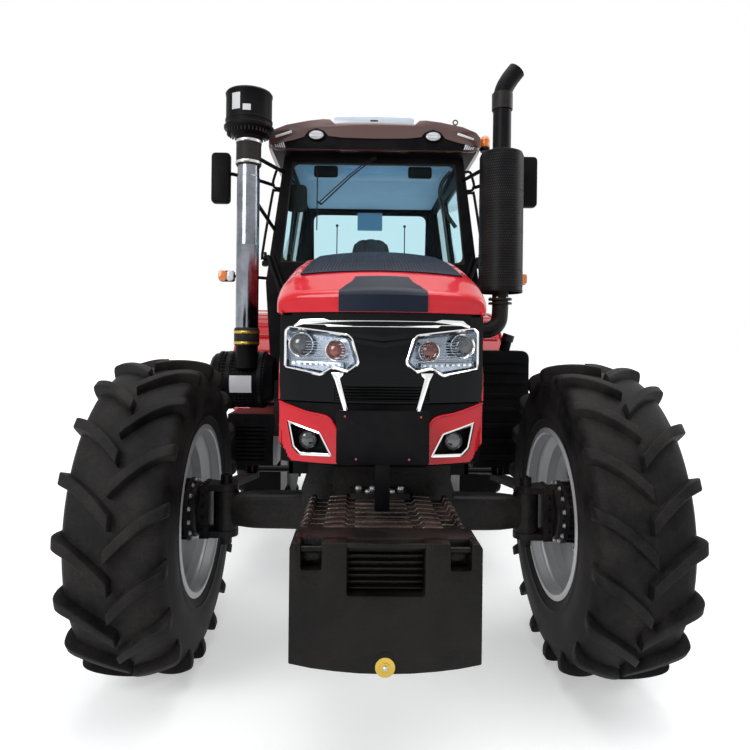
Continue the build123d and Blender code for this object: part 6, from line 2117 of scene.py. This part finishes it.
    def fenders(self) -> None:
        """Build the rolled edge and the ribs of the rear fenders."""
        centre, z0, radius = 2.900, 0.8775, 0.947
        arc = [math.radians(168.5 - 134.0 * k / 40) for k in range(41)]
        edge = Shape()
        for x in (1.120, 0.80):
            edge.tube([(x, aft(centre + radius * math.cos(a)), z0 + radius * math.sin(a)) for a in arc],
                      0.0095, 10)
        edge.mirror().piece("fender_edges", RED, "chassis", "red_paint", smooth=50)
        rib = Shape().block((0.72, 1.09), (centre - 0.012, centre + 0.012),
                            (z0 + 0.953, z0 + 0.961), 0.003)
        ribs = Pattern(9, column_turn=(0.18, 0.0, 0.0), centre=(0.0, aft(centre), z0))
        Shape().join(ribs.spread(rib, RED)).mirror().piece("fender_ribs", RED, "chassis", "red_paint")

    def build(self) -> None:
        """Build all of the trim."""
        self.windscreen()
        self.handles()
        self.doors()
        self.fenders()


@dataclass(frozen=True)
class Seat:
    """Driver's seat, whose two pads are swollen by cloth pressure.

    Attributes:
        voxel: Size of the pads' faces before they swell.
        pressure: Pressure inside the cloth.
        frames: Steps of the swelling.
        cap: Farthest that a point may move.
        channel: Half width and depth of a sewn channel.
        seams: Places of the channels across the tractor.
    """

    voxel: float = 0.0062
    pressure: float = 4.0
    frames: int = 20
    cap: float = 0.024
    channel: Pair = (0.007, 0.007)
    seams: tuple[float, ...] = (-0.125, -0.042, 0.042, 0.125)

    @staticmethod
    def applied(made: bpy.types.Object) -> bpy.types.Mesh:
        """The object's mesh with its modifiers worked in."""
        bpy.context.view_layer.update()
        return bpy.data.meshes.new_from_object(made.evaluated_get(bpy.context.evaluated_depsgraph_get()))

    def work_in(self, made: bpy.types.Object) -> None:
        """Replace the object's mesh by what its modifiers make of it."""
        mesh = self.applied(made)
        made.modifiers.clear()
        made.data = mesh

    def plump(self, shape: Shape, floor: float) -> bpy.types.Mesh:
        """Swell a closed shape and sew channels along it.

        Args:
            shape: The slack pad, used up.
            floor: Height below which the pad doesn't reach.

        Returns:
            The mesh of the finished pad.
        """
        made = bpy.data.objects.new("pad", shape.copy_mesh())
        shape.mesh.free()
        bpy.context.scene.collection.objects.link(made)
        voxels = made.modifiers.new("voxels", "REMESH")
        voxels.mode = "VOXEL"
        voxels.voxel_size = self.voxel
        self.work_in(made)
        rest = [v.co.copy() for v in made.data.vertices]
        cloth = made.modifiers.new("swell", "CLOTH")
        cloth.settings.use_pressure = True
        cloth.settings.uniform_pressure_force = self.pressure
        cloth.settings.effector_weights.gravity = 0.0
        cloth.point_cache.frame_start = 1
        cloth.point_cache.frame_end = self.frames
        for step in range(1, self.frames + 1):
            bpy.context.scene.frame_set(step)
        self.work_in(made)
        bpy.context.scene.frame_set(1)
        for v, was in zip(made.data.vertices, rest):
            move = v.co - was
            if move.length > self.cap:
                v.co = was + move * (self.cap / move.length)
            v.co.z = max(v.co.z, floor)
        wide, deep = self.channel
        sunk = [v.normal * -deep * sum(math.exp(-((v.co.x - x) / wide) ** 2) for x in self.seams)
                for v in made.data.vertices]
        for v, move in zip(made.data.vertices, sunk):
            if v.co.z > floor + 0.01:
                v.co += move
        finer = made.modifiers.new("finer", "SUBSURF")
        finer.levels = finer.render_levels = 1
        self.work_in(made)
        mesh = made.data
        bpy.data.objects.remove(made)
        return mesh

    def build(self) -> None:
        """Build the pads, the piping and the suspension's cover."""
        low, high = corners("seat_cushion")
        y0, y1 = behind(low.y), behind(high.y)
        face = rounded([(-0.232, aft(y0 + 0.018)), (0.232, aft(y0 + 0.018)), (0.218, aft(y1 - 0.015)),
                        (-0.218, aft(y1 - 0.015))], 0.055, 6)
        slack = Shape().prism(face, Axis.Z, low.z + 0.002, high.z - 0.020, 0.014)
        cushion = Shape().join(self.plump(slack, low.z + 0.0005))
        cushion.piece("cushion", CLOTH, "chassis", "seat_cloth", ["seat_cushion"], 180)
        low, high = corners("seat_back")
        right = [(0.205, low.z + 0.004), (0.224, 1.900), (0.214, 2.150), (0.172, 2.200), (0.168, 2.330),
                 (0.140, 2.395), (0.080, 2.424)]
        outline = [(-0.205, low.z + 0.004)] + right + other_side(right[1:])
        slack = Shape().prism(fine(outline, 0.05), Axis.Y, low.y + 0.018, high.y - 0.018, 0.016)
        back = Shape().join(self.plump(slack, low.z + 0.0005))
        back.piece("backrest", CLOTH, "chassis", "seat_cloth", ["seat_back"], 180)
        piping = Shape()
        for x, z in ((0.240, 1.640), (0.240, 1.6035)):
            ring = rounded([(-x, aft(y0 + 0.006)), (x, aft(y0 + 0.006)), (x - 0.012, aft(y1 - 0.004)),
                            (0.012 - x, aft(y1 - 0.004))], 0.06, 6)
            piping.tube([(a, b, z) for a, b in ring + ring[:1]], 0.004, 8)
        piping.piece("seat_piping", SEAL, "chassis", "black_plastic", smooth=60)
        bellows = Shape()
        for k in range(7):
            z = 1.250 + 0.040 * k
            room = 0.200 - 0.010 * (k % 2)
            bellows.block((-room, room), (1.947, 2.325), (z, z + 0.030), 0.010)
        bellows.piece("seat_bellows", SEAL, "chassis", "black_plastic")


@dataclass(frozen=True)
class Interior:
    """Steering wheel, instruments, levers and lining of the cab."""

    def wheel(self) -> None:
        """Build the steering wheel on its leaning column."""
        lean = Matrix.Rotation(-math.radians(28.0), 4, "X")
        turn = Matrix.Translation((0.0, aft(1.800), 2.050)) @ lean
        rim = [(0.015 * math.sin(a), 0.178 + 0.0165 * math.cos(a))
               for a in (FULL_TURN * k / 18 for k in range(18))]
        grip = Shape().lathe(rim, Axis.Z, (0.0, 0.0), 72, True, turn)
        for k in range(3):
            a = FULL_TURN * (k / 3 + 0.25)
            c, s = math.cos(a), math.sin(a)
            spoke = [turn @ Vector((out * c, out * s, z))
                     for out, z in ((0.035, -0.022), (0.100, -0.016), (0.170, 0.0))]
            grip.tube(spoke, [0.013, 0.010, 0.011], 14, 3)
        boss = [(-0.060, 0.0), (-0.060, 0.030), (-0.030, 0.042), (0.004, 0.046), (0.012, 0.038),
                (0.014, 0.0)]
        grip.lathe(boss, Axis.Z, (0.0, 0.0), 48, False, turn)
        knob = [turn @ Vector((0.178, 0.04, 0.010)), turn @ Vector((0.176, 0.04, 0.035))]
        grip.tube(knob, [0.008, 0.020], 16)
        grip.piece("wheel_grip", GRIP, "steering_wheel", "black_plastic", ["steering_wheel"], 45)

    def panel(self) -> None:
        """Build the instrument hood, its dials and the stalks."""
        face = rounded([(-0.205, 1.900), (0.205, 1.900), (0.170, 2.020), (-0.170, 2.020)], 0.03)
        hood = Shape().prism(face, Axis.Y, aft(1.450), aft(1.560), 0.012)
        hood.tube([(0.0, aft(1.560), 1.62), (0.0, aft(1.66), 1.80), (0.0, aft(1.755), 1.965)], 0.040, 24)
        for x in (0.16, -0.16):
            hood.tube([(0.0, aft(1.70), 1.880), (x, aft(1.70), 1.925)], [0.007, 0.011], 12)
        hood.piece("instrument_hood", PLASTIC, "chassis", "black_plastic", smooth=40)
        dials, y = Shape(), aft(1.560)
        for x, r in ((-0.095, 0.045), (0.0, 0.038), (0.095, 0.045)):
            dials.lathe([(y - 0.004, 0.0), (y - 0.004, r + 0.006), (y + 0.006, r + 0.004),
                         (y + 0.006, r), (y + 0.002, r - 0.002), (y + 0.002, 0.0)], Axis.Y,
                        (x, 1.960), 36)
        dials.piece("dials", GLOSS_BLACK, "chassis", "black_plastic")

    def levers(self) -> None:
        """Build the console's levers, the flag rods, the fan and the inner handle."""
        rods = Shape()
        for x, y in ((-0.500, 2.060), (-0.440, 2.060), (-0.380, 2.060), (-0.470, 2.230),
                     (-0.400, 2.230)):
            rods.tube([(x, aft(y), 1.750), (x, aft(y - 0.015), 1.830),
                       (x + 0.006, aft(y - 0.040), 1.900)],
                      0.006, 12, 2)
            rods.lathe([(1.750, 0.0), (1.750, 0.030), (1.768, 0.022), (1.776, 0.008), (1.776, 0.0)],
                       Axis.Z, (x, aft(y)), 24)
            rods.tube([(x + 0.005, aft(y - 0.036), 1.888), (x + 0.008, aft(y - 0.052), 1.930)],
                      [0.013, 0.016], 16)
        for side in (-1, 1):
            rods.tube([(side * 0.215, aft(2.345), 2.080), (side * 0.262, aft(2.345), 2.100),
                       (side * 0.288, aft(2.345), 2.150), (side * 0.290, aft(2.345), 2.535)],
                      0.0045, 10, 3)
            rods.lathe([(2.528, 0.0), (2.530, 0.008), (2.540, 0.013), (2.550, 0.008), (2.552, 0.0)],
                       Axis.Z, (side * 0.290, aft(2.345)), 20)
        rods.tube([(0.556, aft(1.470), 2.767), (0.500, aft(1.500), 2.700), (0.486, aft(1.510), 2.610),
                   (0.530, aft(1.505), 2.480), (0.596, aft(1.480), 2.372)], 0.015, 14, 4)
        rods.tube([(-0.600, aft(1.470), 2.700), (-0.570, aft(1.520), 2.690),
                   (-0.552, aft(1.540), 2.660)],
                  0.008, 10, 3)
        fan = rounded([(-0.632, 2.480), (-0.482, 2.480), (-0.482, 2.680), (-0.632, 2.680)], 0.045, 6)
        rods.prism(fan, Axis.Y, aft(1.535), aft(1.560), 0.008)
        rods.tube([(-0.575, aft(1.500), 2.490), (-0.590, aft(1.480), 2.300),
                   (-0.600, aft(1.470), 2.160)],
                  0.010, 10, 3)
        rods.piece("levers", GRIP, "chassis", "black_plastic", smooth=45)

    def lining(self) -> None:
        """Build the pale lining under the roof, which glows as painted light, the mat and the pedals."""
        # The ceiling glows: painted light for the cab's inside seen through the glass.
        ceiling = Shape().block((-0.585, 0.585), (1.450, 2.900), (2.806, 2.838), 0.012)
        ceiling.block((-0.500, 0.500), (1.560, 1.760), (2.770, 2.815), 0.020)
        ceiling.piece("ceiling", LINING_PAINTED_GLOW, "chassis", "hatch_grey")
        mat = Shape().block((-0.600, 0.600), (1.460, 1.920), (1.1905, 1.197), 0.003)
        bar = Shape().block((-0.590, 0.590), (1.475, 1.483), (1.1965, 1.200), 0.001)
        mat.join(Pattern(28, column_step=(0.0, 0.0158, 0.0)).spread(bar, SEAL))
        for x in (-0.330, 0.290, 0.400):
            mat.block((x - 0.040, x + 0.040), (1.600, 1.612), (1.300, 1.390), 0.005)
            mat.tube([(x, aft(1.600), 1.345), (x, aft(1.545), 1.330), (x, aft(1.500), 1.196)],
                     0.010, 12, 2)
        mat.piece("mat_and_pedals", SEAL, "chassis", "black_plastic")

    def build(self) -> None:
        """Build the whole interior."""
        self.wheel()
        self.panel()
        self.levers()
        self.lining()


@dataclass(frozen=True)
class Rear:
    """Details at the back: power shaft, couplers, bolts and ribs."""

    def build(self) -> None:
        """Build all of the details."""
        face = aft(3.150)
        shaft = Shape().lathe([(face + 0.004, 0.0), (face + 0.004, 0.0150), (face + 0.088, 0.0150),
                               (face + 0.090, 0.0130), (face + 0.090, 0.0)], Axis.Y, (0.0, 0.700), 36)
        tooth = Shape().block((-0.0032, 0.0032), (3.158, 3.237), (0.714, 0.7174), 0.0008)
        shaft.join(Pattern.around(6, Axis.Y, (0.0, face, 0.700)).spread(tooth, BRIGHT))
        shaft.piece("power_shaft", BRIGHT, "chassis", "bright_steel")
        parts = Shape()
        for x in (-0.150, -0.090, 0.090, 0.150):
            parts.block((x - 0.026, x + 0.026), (3.148, 3.180), (0.930, 0.990), 0.004)
            parts.lathe([(face + 0.026, 0.0), (face + 0.026, 0.021), (face + 0.048, 0.021),
                         (face + 0.052, 0.018), (face + 0.052, 0.0)], Axis.Y, (x, 0.960), 24)
        shield = [(face - 0.004, 0.055), (face - 0.004, 0.090), (face + 0.012, 0.086),
                  (face + 0.016, 0.060)]
        parts.lathe(shield, Axis.Y, (0.0, 0.700), 48, True)
        parts.piece("couplers", STEEL, "chassis", "black_paint")
        bolts = Shape()
        around = Pattern.around(8, Axis.Y, (0.0, face, 0.700))
        bolts.join(around.spread(bolt((0.0, face + 0.001, 0.832), Axis.Y, 1, 0.010), BRIGHT))
        row = Pattern(2, 5, (0.440, 0.0, 0.0), (0.0, 0.0, 0.095))
        bolts.join(row.spread(bolt((-0.220, face - 0.0005, 0.575), Axis.Y, 1, 0.010), BRIGHT))
        bolts.piece("rear_bolts", BRIGHT, "chassis", "bright_steel", smooth=30)
        ribs = Shape()
        for x in (-0.262, 0.262):
            rib = Shape().block((x - 0.008, x + 0.008), (1.300, 1.318), (0.560, 1.050), 0.004)
            ribs.join(Pattern(9, column_step=(0.0, 0.190, 0.0)).spread(rib, STEEL))
        ribs.piece("gearbox_ribs", STEEL, "chassis", "black_paint")


@dataclass(frozen=True)
class Engine:
    """What shows when the hood is up: radiator, fan, rocker covers, pipes, filters and pulleys.

    Attributes:
        cylinders: Number of cylinders.
        pitch: Distance from cylinder to cylinder.
        first: Distance of the first cylinder behind the front axle.
        top: Height of the block's top.
    """

    cylinders: int = 6
    pitch: float = 0.160
    first: float = 0.120
    top: float = 1.560

    def cooling(self) -> None:
        """Build the radiator with its fins, the shroud and the fan."""
        box = Shape()
        for x in ((-0.345, -0.315), (0.315, 0.345)):
            box.block(x, (-0.305, -0.185), (1.050, 1.585), 0.005)
        for z in ((1.050, 1.100), (1.530, 1.590)):
            box.block((-0.345, 0.345), (-0.315, -0.175), z, 0.010)
        box.block((-0.050, 0.050), (-0.285, -0.205), (1.585, 1.600), 0.004)
        ring = [(aft(-0.180), 0.262), (aft(-0.110), 0.250), (aft(-0.110), 0.256), (aft(-0.180), 0.300)]
        box.lathe(ring, Axis.Y, (0.0, 1.320), 64, True)
        box.piece("radiator_frame", BLACK, "chassis", "black_plastic")
        fin = Shape().block((-0.316, -0.3145), (-0.290, -0.200), (1.095, 1.535), 0.0)
        core = Shape().join(Pattern(106, column_step=(0.006, 0.0, 0.0)).spread(fin, BRIGHT))
        core.block((-0.314, 0.314), (-0.250, -0.240), (1.098, 1.532), 0.0)
        core.piece("radiator_core", STEEL, "chassis", "black_steel")
        rows = [[(x, aft(-0.150) - dy, 1.320 + z) for x, dy in ((-w, 0.020), (0.0, 0.004), (w, -0.020))]
                for z, w in ((0.050, 0.022), (0.120, 0.036), (0.190, 0.048), (0.236, 0.052))]
        blade = Shape().skin(rows, 0.003)
        fan = Shape().join(Pattern.around(8, Axis.Y, (0.0, aft(-0.150), 1.320)).spread(blade, PLASTIC))
        fan.lathe([(aft(-0.180), 0.0), (aft(-0.178), 0.048), (aft(-0.150), 0.060), (aft(-0.128), 0.060),
                   (aft(-0.128), 0.028), (aft(-0.055), 0.028), (aft(-0.055), 0.0)], Axis.Y,
                  (0.0, 1.320), 40)
        fan.piece("fan", PLASTIC, "chassis", "black_plastic")

    def covers(self) -> None:
        """Build the rocker covers, the manifold, the fuel lines, the filters and the pulleys."""
        y, top = self.first, self.top
        one = Shape().block((-0.110, 0.110), (y - 0.068, y + 0.068), (top - 0.004, top + 0.052), 0.014)
        one.block((-0.080, 0.080), (y - 0.040, y + 0.040), (top + 0.048, top + 0.060), 0.006)
        for x in (-0.090, 0.090):
            one.rod(Axis.Z, (top + 0.050, top + 0.060), 0.010, (x, aft(y)), 6)
        one.tube([(0.195, aft(y), top - 0.010), (0.200, aft(y), top + 0.035),
                  (0.262, aft(y), top + 0.045)],
                 0.030, 16, 3)
        one.tube([(-0.110, aft(y), top + 0.020), (-0.160, aft(y + 0.01), top + 0.040),
                  (-0.215, aft(y + 0.02), top + 0.010), (-0.235, aft(y + 0.02), top - 0.02)],
                 0.005, 8, 3)
        row = Pattern(self.cylinders, column_step=(0.0, self.pitch, 0.0))
        parts = Shape().join(row.spread(one, STEEL))
        end = y + self.pitch * (self.cylinders - 1)
        for x, over, z, radius, sides in ((0.250, (0.05, 0.06), 0.045, 0.034, 20),
                                          (-0.220, (0.03, 0.03), 0.012, 0.026, 16)):
            ends = (aft(y - over[0]), aft(end + over[1]))
            parts.tube([(x, place, top + z) for place in ends], radius, sides)
        parts.piece("rocker_covers", STEEL, "chassis", "black_paint", smooth=40)
        cans = Shape()
        for y in (0.20, 0.34):
            cans.lathe([(1.240, 0.0), (1.240, 0.030), (1.250, 0.046), (1.440, 0.046), (1.446, 0.052),
                        (1.470, 0.052), (1.474, 0.0)], Axis.Z, (-0.345, aft(y)), 32)
            cans.block((-0.350, -0.285), (y - 0.030, y + 0.030), (1.470, 1.500), 0.006)
        cans.piece("fuel_filters", WHITE, "chassis", "black_plastic")
        belts = Shape()
        for x, z, r in ((0.0, 1.130, 0.085), (0.0, 1.320, 0.075), (0.170, 1.420, 0.042)):
            belts.lathe([(aft(-0.098), 0.0), (aft(-0.098), r), (aft(-0.094), r),
                         (aft(-0.088), r - 0.008), (aft(-0.082), r - 0.008), (aft(-0.076), r),
                         (aft(-0.072), r), (aft(-0.072), 0.0)],
                        Axis.Y, (x, z), 40)
        for a, b in (((-0.080, 1.130), (-0.070, 1.320)), ((0.083, 1.115), (0.205, 1.400)),
                     ((-0.050, 1.378), (0.165, 1.462))):
            belts.tube([(a[0], aft(-0.085), a[1]), (b[0], aft(-0.085), b[1])], 0.0055, 8)
        belts.piece("pulleys", STEEL, "chassis", "black_paint", smooth=40)

    def build(self) -> None:
        """Build all of it."""
        self.cooling()
        self.covers()


@dataclass(frozen=True)
class Dress:
    """Finishes for the parts that stand as they came.

    Attributes:
        finishes: Each finish with the parts that get it.
    """

    finishes: tuple[tuple[Finish, tuple[str, ...]], ...] = (
        (RED, ("fenders",)),
        (BLACK, ("cab_frame", "door_left", "door_right", "steering_cylinder", "battery_box", "steps",
                 "lift_rods", "plate_board", "stays", "muffler")),
        (STEEL, ("engine_block", "transmission", "rear_axle", "frame_rails", "knuckle_left",
                 "knuckle_right", "drawbar", "lift_arms", "lower_links")),
        (PLASTIC, ("dashboard", "seat_base", "cab_floor")),
        (GLASS, ("cab_glass", "door_glass_left", "door_glass_right")),
        (GLOSS_BLACK, ("steering_rods",)),
        (BRIGHT, ("top_link",)))

    def build(self) -> None:
        """Give every part its finish."""
        for finish, names in self.finishes:
            for name in names:
                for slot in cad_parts[name].material_slots:
                    slot.material = finish.material()


def main() -> None:
    """Build every sub-assembly in order."""
    assemblies = (Studio(), Nose(), Hood(), Weights(), FrontAxle(),
                  Wheel("front", 0.381, 0.150, 18, 10), Wheel("rear", 0.505, 0.170, 20, 12),
                  Roof(), Cab(), Intake(), Exhaust(), Flanks(), Engine(), Seat(), Interior(),
                  Rear(), Dress())
    for assembly in assemblies:
        log.info("building %s", type(assembly).__name__)
        assembly.build()


if __name__ == "__main__":
    main()
